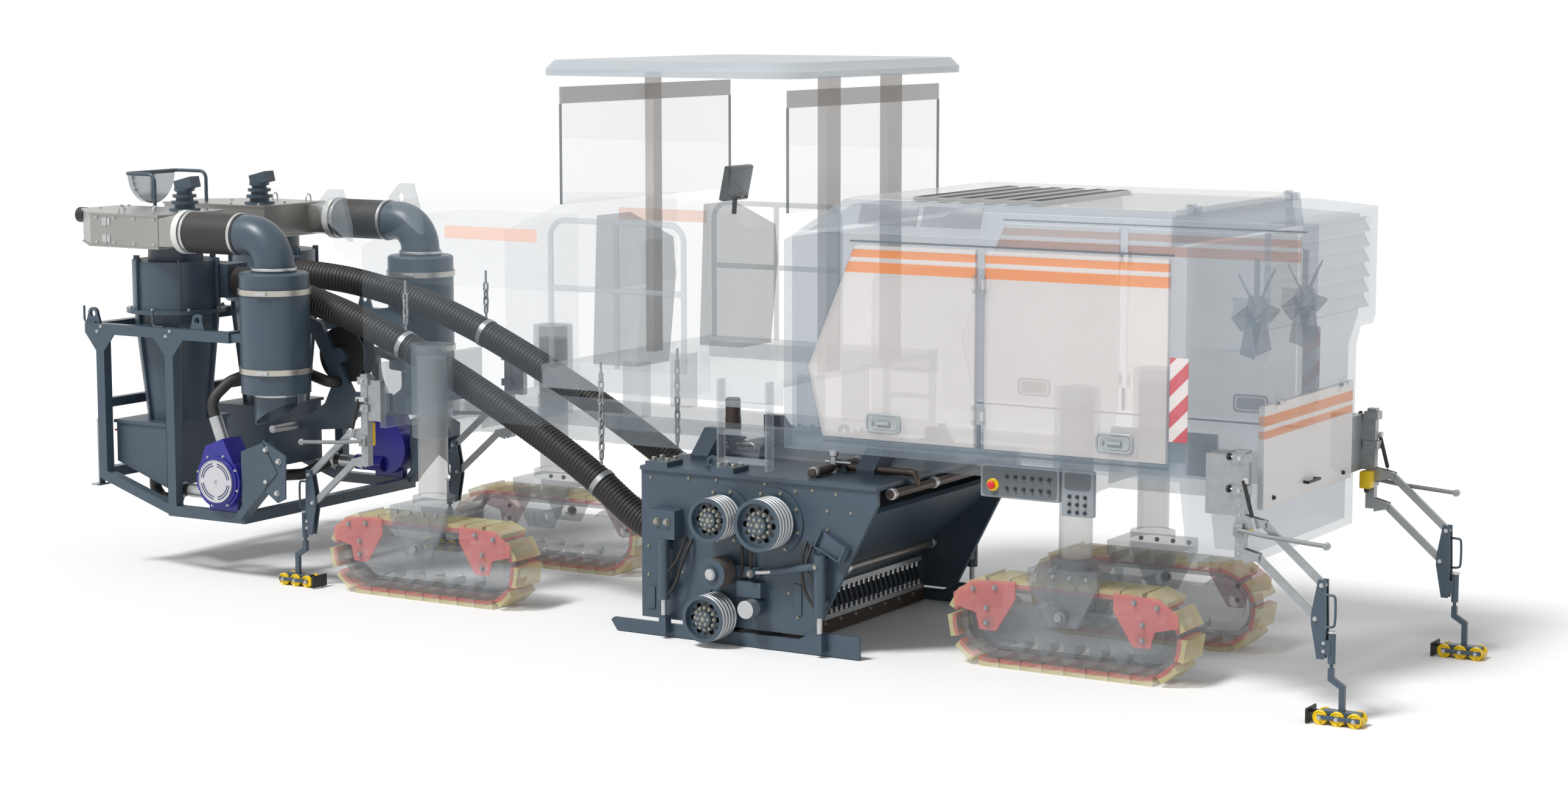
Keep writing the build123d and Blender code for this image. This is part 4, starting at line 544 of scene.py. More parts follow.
def walk(points, spacing):
    """Places and directions at even distances along a line of points."""
    stations = []
    travelled = 0.0
    due = 0.0
    for start, end in zip(points, points[1:]):
        run = end - start
        length = run.length
        while length and due <= travelled + length:
            stations.append((start + run * ((due - travelled) / length), run.normalized()))
            due += spacing
        travelled += length
    stations.append((points[-1], (points[-1] - points[-2]).normalized()))
    return stations


def add_sleeve(bm, stations, radius_at, segments=28):
    """Tube whose radius changes along a line of places and directions."""
    rings = []
    level = stations[0][1].orthogonal()
    for number, (place, direction) in enumerate(stations):
        level = (level - direction * level.dot(direction)).normalized()
        across = direction.cross(level)
        radius = radius_at(number)
        ring = []
        for step in range(segments):
            angle = 2 * math.pi * step / segments
            outward = math.cos(angle) * level + math.sin(angle) * across
            ring.append(bm.verts.new(place + radius * outward))
        rings.append(ring)
    for low, high in zip(rings, rings[1:]):
        bridge(bm, low, high)
    for ring in (rings[0], rings[-1]):
        bm.faces.new(ring)


def add_hose(bm, route, radius, segments=14):
    """Plain hose or bent pipe along a spline."""
    stations = walk(spline_points([Vector(place) for place in route], 10), radius * 1.2)
    add_sleeve(bm, stations, lambda number: radius, segments)


def add_pipe(bm, start, end, radius, segments=24):
    """Straight pipe with chamfered ends."""
    run = Vector(end) - Vector(start)
    chamfer = radius * 0.12
    profile = (
        (0, 0), (radius - chamfer, 0), (radius, chamfer), (radius, run.length - chamfer),
        (radius - chamfer, run.length), (0, run.length),
    )
    add_lathe(bm, start, run, profile, segments)


def at(x, y, z):
    """Place given from the station of the drum's axis."""
    return Vector((drum_x + x, y, z))


def round_spots(x, y, z, radius, count, start=0.0):
    """Places evenly round an axle, from a first angle on."""
    spots = []
    for step in range(count):
        angle = 2 * math.pi * step / count + start
        spots.append(at(x + radius * math.cos(angle), y, z + radius * math.sin(angle)))
    return spots


class MILLING_OT_finishes(bpy.types.Operator):
    """Give every CAD piece its finish."""

    bl_idname = "milling.finishes"
    bl_label = "Finishes"

    def execute(self, context):
        self.paint_milling_unit()
        self.paint_extraction_unit()
        self.paint_arms()
        self.paint_body(context.scene.milling_colours.stripe, context.scene.milling_sizes.panel_alpha)
        self.paint_tracks()
        return {"FINISHED"}

    def paint_milling_unit(self):
        """Slate housing and skids, the scraper's spray line, dark drum and bright belt grooves."""
        silver = silver_coat()
        motor = ((drum_x - 0.312, 0.290, 0.0), 0.0, 0.064)
        paint(("milling_housing",), slate_enamel("housing", [([motor, ("Y", 1.11, 1.3)], silver)]))
        skid = slate_enamel("skid", [([("Z", 0.165, 1.0)], silver)])
        paint(("side_skid_left", "side_skid_right"), skid)
        blade_x = drum_x - 0.496
        behind = ("X", blade_x - 0.4, blade_x - 0.003)
        paint(("scraper",), slate_enamel("scraper", [
            ([((drum_x - 0.575, 0.450, 0.0), 0.0, 0.0335)], coat("8E8C88", 0.35, 0.7)),
            ([behind, ("Z", 0.157, 0.328)], coat("232326", 0.45)),
            ([behind, ("Z", 0.328, 0.362)], silver),
            ([behind, ("Z", 0.120, 0.157)], silver),
            ([("X", blade_x - 0.003, blade_x + 0.1), ("Z", 0.0, 0.125)], coat("4A3D33", 0.45, 0.4)),
        ]))
        paint(("milling_drum",), wear_steel())
        for name, x, z, radius, _ in PULLEYS:
            grooves = [((drum_x + x, z, 0.0), radius - 0.0125, radius + 0.01), ("Y", 1.0, 1.247)]
            paint((name,), slate_enamel(name, [(grooves, coat("C2C4C6", 0.38, 0.6))]))
        lagging = [((drum_x - 0.055, 0.513, 0.0), 0.102, 0.12), ("Y", 1.0, 1.217)]
        paint(("tension_roller",), slate_enamel("roller", [(lagging, coat("5B5552", 0.6))]))

    def paint_extraction_unit(self):
        """Slate steelwork, stainless fan boxes, blue pumps and black hoses."""
        silver = silver_coat()
        slate = slate_coat()
        paint(("cyclones", "fan_motors"), slate_enamel())
        cross_tube = ((drum_x + 4.150, 1.145, 0.0), 0.0, 0.0286)
        paint(("unit_frame",), slate_enamel("unit", [
            ([cross_tube, ("across", 0.0, 0.437)], silver),
            ([cross_tube, ("across", 0.483, 0.9)], silver),
            ([("X", drum_x + 5.6705, drum_x + 5.9), ("Z", 0.0, 1.152)], zinc_coat()),
        ]))
        paint(("silencers",), slate_enamel("silencer", [
            ([("Z", 1.6, 1.642)], coat("C3BFB6", 0.3, 0.8)),
            ([("Z", 2.19, 2.232)], coat("C3BFB6", 0.3, 0.8)),
        ]))
        paint(("fan_boxes",), brushed_stainless([
            ([("Z", 2.7525, 3.4)], slate),
            ([("X", drum_x + 5.988, drum_x + 6.036), ("Z", 2.742, 2.978)], coat("B4B8BC", 0.08, 0.9)),
            ([("X", drum_x + 6.123, drum_x + 6.5)], coat("1B1C1E", 0.45)),
            ([("X", drum_x + 4.81, drum_x + 4.8735), ("Z", 2.4, 2.8)], coat("E2E2DF", 0.4, 0.1)),
        ]))
        paint(("slurry_pumps",), blue_enamel([([("across", 1.1145, 1.14)], coat("CDCDD1", 0.42, 0.35))]))
        paint(("duct_sleeves", "suction_hoses"), black_rubber())
        paint(("hose_reel",), black_polymer_and_hole_shade())
        paint(("hose_hangers",), zinc_steel("chain", [([("X", drum_x + 4.3, drum_x + 5.5)], silver)]))

    def paint_arms(self):
        """Zinc links, slate legs, yellow wheels and black wipers."""
        rod_grey = coat("8B8E8F", 0.55, 0.2)
        rods = []
        for arm_y in (0.890, 1.126):
            rods.append(([("across", arm_y + 0.0385, arm_y + 0.0695), ("Z", 1.08, 1.168)], rod_grey))
        paint(("levelling_mounts",), zinc_steel("mount", rods))
        black = coat("1B1C1E", 0.5)
        yellow = coat(bpy.context.scene.milling_colours.wheel, 0.34)
        for corner, (post_x, out, arm_y) in ARMS.items():
            paint((f"upper_link_{corner}", f"lower_link_{corner}"), zinc_steel())
            wiper = sorted((drum_x + post_x + out * 0.40, drum_x + post_x + out * 0.557))
            wheels = sorted((drum_x + post_x + out * 0.525, drum_x + post_x + out * 0.83))
            paint(("arm_leg_" + corner,), slate_enamel("leg_" + corner, [
                ([("X", *wheels), ("Z", -0.01, 0.067), ("Y", arm_y - 0.0275, arm_y + 0.0275)], yellow),
                ([("X", *wiper), ("Z", 0.0, 0.1)], black),
            ]))

    def paint_body(self, stripe, alpha):
        """Clear panels with film stripes, each more or less opaque as in the photo."""
        film = coat(stripe, 0.4, 0.0, 0.52)
        doors = [f"door_{place}_{hand}" for place in ("front", "rear") for hand, _ in hands]
        paint(doors, clear_panel("door", "EAE5E3", 0.34, [
            ([("Z", 2.700, 2.752)], film),
            ([("Z", 2.600, 2.670)], film),
        ]))
        paint(("rear_flap",), clear_panel("flap", "EDEAE8", 0.7, [
            ([("Z", 1.735, 1.80)], film),
            ([("Z", 1.655, 1.705)], film),
        ]))
        tank_film = [("across", 1.095, 1.105), ("Z", 2.69, 2.78), ("X", drum_x + 1.45, drum_x + 2.25)]
        faint_film = coat(stripe, 0.4, 0.0, 0.4)
        paint(("side_tanks",), clear_panel("tank", "8B9BA7", alpha * 0.36, [(tank_film, faint_film)]))
        paint(("channel_cover",), clear_panel("cover", "8B9BA7", alpha * 0.33))
        paint(("hood_frame",), clear_panel("hood", "91A1AE", alpha * 1.15))
        lid_sides = ([("Z", 2.8, 3.072)], coat("A3B0B9", 0.3, 0.0, 0.3))
        paint(("hood_lid",), clear_panel("lid", "E9E6E2", 0.34, [lid_sides]))
        paint(("canopy_roof",), clear_panel("roof", "B5BEC4", 0.58))
        paint(("canopy_posts",), clear_panel("post", "B3AAA3", 0.5))
        header = ([("Z", 3.655, 3.78)], coat("9C958F", 0.4, 0.0, 0.5))
        paint(("canopy_glass",), clear_panel("screen", "DCE2E5", 0.1, [header], 0.05))
        paint(("main_frame",), clear_panel("chassis", "98A2A9", alpha * 1.4))
        paint(("deck", "hand_rails"), clear_panel("deck", "AEB6BC", alpha * 1.3))
        paint(("consoles",), clear_panel("console", "80888E", alpha * 1.7))
        paint(("conveyor_ears",), clear_panel("ear", "AEB7BD", alpha * 1.2))
        paint(("engine_and_cooler",), clear_panel("engine", "A5ABB0", alpha))
        paint(("cooling_fan_left", "cooling_fan_right"), clear_panel("fan", "8A9298", alpha * 2))

    def paint_tracks(self):
        """Clear tracks: red shoes and guards, pale pads and silver columns."""
        shoe = coat("DE8583", 0.5, 0.0, 0.42)
        pad = coat("E3DBA6", 0.6, 0.0, 0.45)
        column = coat("C9C9C6", 0.3, 0.3, 0.4)
        for end, axle, gauge in TRACKS:
            axle_x = drum_x + axle
            spine = (axle_x, 0.300, 0.553)
            # Forged chain, painted shoes and moulded pads, drawn as if seen through
            loop = finish("track_steel_and_rubber_" + end, coat("96999C", 0.5, 0.2, 0.42), [
                ([(spine, 0.2405, 0.270)], shoe),
                ([(spine, 0.270, 0.42)], pad),
            ])
            guard = ("across", gauge + 0.155, gauge + 0.1715)
            # Enamelled castings, see-through, with a satin skin
            frame_coat = finish("clear_track_enamel_" + end, coat("8F979D", 0.4, 0.0, 0.32), [
                ([("Z", 0.765, 2.0)], column),
                ([guard, ("X", axle_x + 0.30, axle_x + 0.95)], shoe),
                ([guard, ("X", axle_x - 0.95, axle_x - 0.30)], shoe),
            ])
            for hand, _ in hands:
                paint((f"track_loop_{end}_{hand}",), loop)
                paint((f"track_frame_{end}_{hand}",), frame_coat)


class MILLING_OT_suction_hoses(bpy.types.Operator):
    """Ribbed suction hoses from the milling housing up to the cyclones."""

    bl_idname = "milling.suction_hoses"
    bl_label = "Suction hoses"

    def execute(self, context):
        sizes = context.scene.milling_sizes
        low = 0.100
        high = low + sizes.hose_rib_height
        route = (
            (4.824, 0.356, 2.210),
            (4.634, 0.356, 2.210),
            (4.180, 0.450, 2.150),
            (3.430, 0.500, 1.965),
            (2.480, 0.500, 1.560),
            (1.498, 0.500, 1.050),
            (1.050, 0.500, 0.720),
            (0.880, 0.500, 0.640),
            (0.760, 0.500, 0.640),
        )
        bm = bmesh.new()
        for _, side in hands:
            points = spline_points([at(x, side * y, z) for x, y, z in route], 24)
            stations = walk(points, sizes.hose_rib_pitch / 4)
            add_sleeve(bm, stations, lambda number: high if number % 4 in (1, 2) else low)
        hoses = add_piece("ribbed_suction_hoses", bm, black_rubber(), "machine")
        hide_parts("suction_hoses")
        return {"FINISHED"}


class MILLING_OT_pulley_bolts(bpy.types.Operator):
    """Rings of bolts on the belt pulleys and the bolt of the tension roller."""

    bl_idname = "milling.pulley_bolts"
    bl_label = "Pulley bolts"

    def execute(self, context):
        count = context.scene.milling_sizes.pulley_bolts
        for name, x, z, radius, body in PULLEYS:
            bm = bmesh.new()
            for seat in round_spots(x, WEB_Y, z, 0.46 * radius, count):
                add_bolt(bm, seat, (0, 1, 0), 0.026, 0.018)
            for seat in round_spots(x, HUB_Y, z, 0.24 * radius, count // 2):
                add_bolt(bm, seat, (0, 1, 0), 0.020, 0.0075)
            add_bolt(bm, at(x, HUB_Y, z), (0, 1, 0), 0.030, 0.0075)
            add_piece(name + "_bolts", bm, olive_steel(), body)
            bm = bmesh.new()
            # Dark linings and discs in the web: painted shade of the pulley's holes
            self.add_hole_shade(bm, x, z, radius)
            add_piece(name + "_painted_hole_shade", bm, black_polymer_and_hole_shade(), body)
        bm = bmesh.new()
        add_bolt(bm, at(-0.055, 1.240, 0.513), (0, 1, 0), 0.062, 0.0095)
        add_piece("roller_bolt", bm, bright_steel(), "tensioner")
        return {"FINISHED"}

    def add_hole_shade(self, bm, x, z, radius):
        """Painted shade of the web's holes: dark linings in the six bores, and dark discs between them
        that stand for six more holes.
        """
        bore = 0.13 * radius
        rim = ((bore, -0.03), (bore, 0.002), (bore - 0.004, 0.002), (bore - 0.004, -0.03))
        edge = 0.7 * bore
        plug = ((0, -0.002), (edge, -0.002), (edge, 0.0010), (0.6 * bore, 0.0015), (0, 0.0015))
        bores = round_spots(x, WEB_Y, z, 0.61 * radius, 6)
        between = round_spots(x, WEB_Y, z, 0.63 * radius, 6, math.pi / 6)
        for centre, gap in zip(bores, between):
            add_lathe(bm, centre, (0, 1, 0), rim, 20)
            add_lathe(bm, gap, (0, 1, 0), plug, 20)


class MILLING_OT_housing_fittings(bpy.types.Operator):
    """Bolts, lifting ears, filter, valves, water pipes and hydraulic hoses of the milling housing."""

    bl_idname = "milling.housing_fittings"
    bl_label = "Housing fittings"

    def execute(self, context):
        self.add_bolts()
        self.add_ears()
        self.add_filter()
        self.add_pipes()
        self.add_hoses()
        self.add_nozzles()
        self.add_wall_brackets()
        return {"FINISHED"}

    def add_bolts(self):
        """Bolts on the walls, the pads, the cylinder brackets and both shaft flanges."""
        bm = bmesh.new()
        spots = (
            (-0.601, 1.098), (-0.735, 1.115), (-0.915, 1.103), (-0.847, 0.985), (-1.030, 0.987),
            (-0.848, 0.855), (0.026, 1.125), (-0.363, 1.13), (0.56, 1.10), (0.25, 1.12),
            (0.58, 0.62), (0.58, 0.42), (-0.55, 0.40), (-0.62, 0.24), (0.30, 0.46),
        )
        for _, side in hands:
            for x, z in spots:
                add_bolt(bm, at(x, side * WALL_Y, z), (0, side, 0), 0.019)
            for pad in (0.506, -0.030):
                for dx in (-0.055, 0.055):
                    for y in (0.88, 0.98):
                        add_bolt(bm, at(pad + dx, side * y, 1.214), (0, 0, 1), 0.038)
            for x in (0.44, 0.36):
                add_bolt(bm, at(x, side * 1.130, 0.82), (0, side, 0), 0.042)
        for x, z in ((-0.307, 0.525), (-0.824, 0.620)):
            add_bolt(bm, at(x, 1.130, z), (0, 1, 0), 0.034)
        for x, z, radius in ((-0.432, 0.881, 0.205), (-0.041, 0.883, 0.178)):
            for spot in round_spots(x, 1.032, z, radius, 8, 0.3):
                add_bolt(bm, spot, (0, 1, 0), 0.022)
        for bracket in (0.430, -0.900):
            for _, side in hands:
                for dx in (-0.04, 0.04):
                    add_bolt(bm, at(bracket + dx, side * 0.52, 1.210), (0, 0, 1), 0.036)
        add_piece("housing_bolts", bm, olive_steel())

    def add_ears(self):
        """Lifting ears on the housing's top."""
        bm = bmesh.new()
        for x, y in ((0.134, 0.90), (0.10, 0.25), (-0.70, 0.60), (-0.70, -0.60), (0.134, -0.90)):
            rim = ((0.045, -0.012), (0.045, 0.012), (0.022, 0.012), (0.022, -0.012))
            add_lathe(bm, at(x, y, 1.225), (0, 1, 0), rim, 24)
            add_block(bm, at(x - 0.055, y - 0.011, 1.180), at(x + 0.055, y + 0.011, 1.206), 0.003)
        add_piece("lifting_ears", bm, slate_enamel())

    def add_filter(self):
        """Water filter in the middle of the top, with its valves."""
        bm = bmesh.new()
        can = (
            (0, 1.27), (0.052, 1.27), (0.058, 1.278), (0.058, 1.40), (0.055, 1.405), (0.055, 1.53),
            (0.048, 1.542), (0, 1.542),
        )
        add_lathe(bm, at(0.53, 0, 0), (0, 0, 1), can, 28)
        add_piece("water_filter_can", bm, pipe_steel())
        bm = bmesh.new()
        head = (
            (0, 1.18), (0.03, 1.18), (0.03, 1.212), (0.044, 1.218), (0.044, 1.243), (0.095, 1.249),
            (0.095, 1.262), (0.06, 1.27), (0, 1.27),
        )
        add_lathe(bm, at(0.53, 0, 0), (0, 0, 1), head, 28)
        add_piece("water_filter_head", bm, slate_enamel())
        bm = bmesh.new()
        bend = (at(0.34, 0, 1.18), at(0.34, 0, 1.216), at(0.39, 0, 1.216), at(0.48, 0, 1.216))
        add_hose(bm, bend, 0.022)
        add_pipe(bm, at(0.46, 0, 1.216), at(0.72, 0, 1.216), 0.022)
        for x in (0.44, 0.60, 0.66):
            collar = ((0, 0), (0.032, 0), (0.032, 0.028), (0, 0.028))
            add_lathe(bm, at(x, 0, 1.216), (1, 0, 0), collar, 8)
        add_pipe(bm, at(0.72, 0, 1.216), at(0.80, 0, 1.216), 0.014)
        add_piece("water_valves", bm, bright_steel())

    def add_pipes(self):
        """Brown water pipes behind the housing, with bands, tees and saddles."""
        bm = bmesh.new()
        add_pipe(bm, at(-0.66, 0.92, 1.212), at(-0.66, -0.93, 1.212), 0.030)
        add_pipe(bm, at(-1.262, 0.90, 1.115), at(-1.262, -0.93, 1.115), 0.030)
        link = (
            at(-0.66, 0.55, 1.212), at(-0.85, 0.55, 1.212), at(-1.22, 0.55, 1.212),
            at(-1.262, 0.55, 1.212), at(-1.262, 0.55, 1.16), at(-1.262, 0.55, 1.115),
        )
        add_hose(bm, link, 0.026)
        add_piece("water_pipes", bm, pipe_steel())
        bm = bmesh.new()
        for x, z in ((-0.66, 1.212), (-1.262, 1.115)):
            for y in (0.88, 0.30, -0.35, -0.90):
                add_band(bm, at(x, y, z), (0, 1, 0), 0.030, 0.045, 0.009, 24)
        tee = (
            (0, 0), (0.036, 0), (0.036, 0.03), (0.026, 0.036), (0.026, 0.11), (0.036, 0.116),
            (0.036, 0.15), (0, 0.15),
        )
        for x, z in ((-0.66, 1.18), (-1.262, 1.05)):
            add_lathe(bm, at(x, -0.95, z), (0, 0, 1), tee, 20)
        add_lathe(bm, at(-0.66, 0.62, 1.18), (0, 0, 1), tee, 20)
        add_pipe(bm, at(-0.60, 0.62, 1.25), at(-0.80, 0.62, 1.25), 0.012)
        for y in (0.945, -0.945, 0.30):
            add_band(bm, at(-0.575, y, 0.450), (0, 1, 0), 0.032, 0.05, 0.010, 24)
        run = at(-0.463, 1.098, 0.549) - at(-0.307, 1.098, 0.525)
        add_pipe(bm, at(-0.307, 1.098, 0.525) + run * 0.16, at(-0.463, 1.098, 0.549), 0.0152)
        add_piece("water_fittings", bm, bright_steel())
        bm = bmesh.new()
        for y in (0.6, -0.6):
            add_block(bm, at(-1.272, y - 0.02, 1.145), at(-1.225, y + 0.02, 1.180), 0.004)
        add_piece("pipe_saddles", bm, slate_enamel())

    def add_hoses(self):
        """Hydraulic hoses on the walls."""
        bm = bmesh.new()
        for _, side in hands:
            for shift, foot in ((0.0, 0.58), (0.05, 0.40)):
                route = (
                    at(-0.74 + shift, side * 1.030, 0.76), at(-0.74 + shift, side * 1.075, 0.70),
                    at(-0.715 + shift * 0.5, side * 1.100, 0.60 - shift),
                    at(-0.735, side * 1.105, foot),
                    at(-0.800, side * 1.105, foot - 0.06),
                )
                add_hose(bm, route, 0.011)
            for shift, foot in ((0.0, 0.52), (-0.05, 0.36)):
                route = (
                    at(0.27 + shift, side * 1.030, 0.70), at(0.27 + shift, side * 1.07, 0.66),
                    at(0.30 + shift * 0.5, side * 1.095, 0.56 + shift),
                    at(0.31, side * 1.10, foot + 0.02),
                    at(0.376, side * 1.102, foot - 0.05),
                )
                add_hose(bm, route, 0.011)
        for x in (-0.19, -0.26):
            drop = (
                at(x, 1.036, 0.72), at(x - 0.01, 1.06, 0.66),
                at(x - 0.02, 1.07, 0.58), at(x, 1.05, 0.47),
            )
            add_hose(bm, drop, 0.012)
        add_piece("hydraulic_hoses", bm, black_rubber())

    def add_wall_brackets(self):
        """Folded rest plates behind the pulleys, and cover plates on the housing's walls."""
        bm = bmesh.new()
        for _, side in hands:
            turn = Matrix.Rotation(math.radians(-26), 4, "Y")
            middle = at(-0.90, side * 1.045, 0.755)
            add_slab(bm, middle, (0.125, 0.024, 0.055), 0.006, turn)
            for shift in (-0.105, 0.105):
                rib = middle + turn @ Vector((shift, side * 0.028, 0))
                add_slab(bm, rib, (0.008, 0.020, 0.062), 0.004, turn)
            lip = middle + turn @ Vector((0, side * 0.028, -0.055))
            add_slab(bm, lip, (0.115, 0.020, 0.006), 0.003, turn)
            for x, z, half_height in ((0.10, 0.36, 0.09), (-0.62, 0.36, 0.11), (0.56, 0.26, 0.08)):
                add_slab(bm, at(x, side * 1.024, z), (0.032, 0.006, half_height), 0.005)
        add_piece("wall_brackets", bm, slate_enamel())

    def add_nozzles(self):
        """Hose tails on both bars of the spray line."""
        bm = bmesh.new()
        count = 24
        pitch = 0.070
        half = (count - 1) * pitch / 2
        tail = ((0, 0), (0.015, 0), (0.015, 0.012), (0.012, 0.016), (0.013, 0.034), (0, 0.034))
        for number in range(count):
            y = number * pitch - half
            add_lathe(bm, at(-0.526, y, 0.327), (0, 0, -1), tail, 10)
            add_lathe(bm, at(-0.526, y - 0.036, 0.158), (0, 0, 1), tail, 10)
            if number % 3 == 0:
                add_bolt(bm, at(-0.497, y, 0.085), (-1, 0, 0), 0.020)
        add_piece("spray_hose_tails", bm, bright_steel())


class MILLING_OT_extraction_fittings(bpy.types.Operator):
    """Clamps, hinges, rings, pump discs and valves of the extraction unit."""

    bl_idname = "milling.extraction_fittings"
    bl_label = "Extraction fittings"

    def execute(self, context):
        self.add_clamps()
        self.add_box_trim()
        self.add_pump_discs()
        self.add_valves()
        return {"FINISHED"}

    def add_clamps(self):
        """Band clamps round ducts and silencers, and the lugs of the silencers' straps."""
        bm = bmesh.new()
        for _, side in hands:
            y = side * DUCT_Y
            add_band(bm, at(4.79, y, DUCT_Z), (1, 0, 0), 0.157, 0.026)
            add_band(bm, at(4.32, y, DUCT_Z), (1, 0, 0), 0.157, 0.026)
            add_band(bm, at(SILENCER_X, y, 2.375), (0, 0, 1), 0.165, 0.022)
            add_band(bm, at(SILENCER_X, y, 1.435), (0, 0, 1), 0.166, 0.022)
            for z in (1.621, 2.211):
                for angle in (1.9, 4.4):
                    outward = (math.cos(angle), side * math.sin(angle), 0)
                    spot = at(SILENCER_X + 0.275 * outward[0], y + 0.275 * outward[1], z)
                    turn = Matrix.Rotation(side * angle, 4, "Z")
                    add_slab(bm, spot, (0.014, 0.045, 0.016), 0.004, turn)
                    add_bolt(bm, spot, outward, 0.024)
        add_piece("duct_clamps", bm, bright_steel())

    def add_box_trim(self):
        """Bolts, hinges and lifting eyes of the fan boxes, and bolts of the cyclones and the frame."""
        bm = bmesh.new()
        for _, side in hands:
            face_y = side * 0.980
            for x in (5.10, 5.30, 5.50, 5.68):
                for z in (2.515, 2.705):
                    add_bolt(bm, at(x, face_y, z), (0, side, 0), 0.020)
            leaf_y = face_y + side * 0.006
            pin_y = face_y + side * 0.008
            for z in (2.545, 2.675):
                add_block(bm, at(5.545, face_y, z - 0.03), at(5.625, leaf_y, z + 0.03), 0.002)
                add_pipe(bm, at(5.585, pin_y, z - 0.034), at(5.585, pin_y, z + 0.034), 0.009)
            for x in (5.16, 5.45, 5.72, 5.98):
                for y in (0.30, 0.62):
                    add_bolt(bm, at(x, side * y, 2.740), (0, 0, 1), 0.020)
            for x, y in ((5.50, 0.90), (5.15, 0.90)):
                loop = ((-0.03, 2.738), (-0.034, 2.775), (0, 2.806), (0.034, 2.775), (0.03, 2.738))
                add_hose(bm, [at(x, side * (y + shift), z) for shift, z in loop], 0.007, 10)
            for x, z in ((5.63, 1.85), (4.93, 1.85)):
                for dx, dz in ((-0.02, 0.02), (0.02, -0.02)):
                    add_bolt(bm, at(x + dx, side * 1.040, z + dz), (0, side, 0), 0.022)
            for step in range(8):
                angle = math.pi * step / 4 + 0.2
                spot = at(5.254 + 0.362 * math.cos(angle), side * 0.575 + 0.362 * math.sin(angle), 2.0)
                add_bolt(bm, spot, (0, 0, 1), 0.026)
            for x, z in ((3.96, 1.04), (3.84, 0.96), (3.96, 0.80), (3.86, 0.72)):
                add_bolt(bm, at(x, side * 1.072, z), (0, side, 0), 0.036)
            for z in (0.70, 0.78, 0.86, 1.0, 1.1):
                add_bolt(bm, at(5.6815, side * 1.01, z), (1, 0, 0), 0.018)
        add_piece("box_trim", bm, bright_steel())

    def add_pump_discs(self):
        """Painted shade of the arc slots on the pump discs, drawn as thin dark arcs, a raised lip on the
        discs, and the bolts round the pumps.
        """
        dark = bmesh.new()
        rim = bmesh.new()
        for _, side in hands:
            for radius in (0.118, 0.136):
                for quarter in range(4):
                    angles = [math.pi / 2 * quarter + 0.16 + 0.125 * step for step in range(11)]
                    rings = []
                    for angle in angles:
                        ring = []
                        for dr, dy in ((-0.004, 0.0), (-0.004, 0.0015), (0.004, 0.0015), (0.004, 0.0)):
                            along = PUMP_X + (radius + dr) * math.cos(angle)
                            up = PUMP_Z + (radius + dr) * math.sin(angle)
                            ring.append(dark.verts.new(at(along, side * (PUMP_FACE_Y + dy), up)))
                        rings.append(ring)
                    for low, high in zip(rings, rings[1:]):
                        bridge(dark, low, high)
                    dark.faces.new(rings[0])
                    dark.faces.new(rings[-1])
            lip = ((0.156, 0), (0.156, 0.004), (0.162, 0.003), (0.162, -0.012), (0.159, -0.012))
            add_lathe(rim, at(PUMP_X, side * PUMP_FACE_Y, PUMP_Z), (0, side, 0), lip, 48)
            add_bolt(rim, at(PUMP_X, side * PUMP_FACE_Y, PUMP_Z), (0, side, 0), 0.020)
            for spot in round_spots(PUMP_X, side * 1.100, PUMP_Z, 0.198, 8, 0.3):
                add_bolt(rim, spot, (0, side, 0), 0.018)
        # Painted shade of the slots: the pumps' blue, darker and duller
        shadow = finish("painted_slot_shade", coat("262B5E", 0.4))
        add_piece("pump_disc_painted_slot_shade", dark, shadow)
        add_piece("pump_bolts", rim, bright_steel())

    def add_valves(self):
        """Drain valves with red levers, and clamps on the drain hoses."""
        silver = bmesh.new()
        red = bmesh.new()
        for _, side in hands:
            y = side * 0.80
            stub = (
                (0, -0.01), (0.022, -0.01), (0.022, 0.03), (0.03, 0.036), (0.03, 0.066),
                (0.018, 0.07), (0.018, 0.10), (0, 0.10),
            )
            add_lathe(silver, at(5.585, y, 0.99), (1, 0, 0), stub, 16)
            add_pipe(silver, at(5.636, y, 0.985), at(5.636, y, 1.045), 0.007)
            low = at(5.628, y - 0.012, 1.040)
            add_block(red, low, low + Vector((0.016, side * 0.105, 0.014)), 0.005)
            add_band(silver, at(PUMP_X + 0.51, side * 0.905, 0.640), (1, 0, 0), 0.046, 0.03, 0.012, 24)
        add_piece("drain_valves", silver, bright_steel())
        add_piece("drain_levers", red, red_polymer())


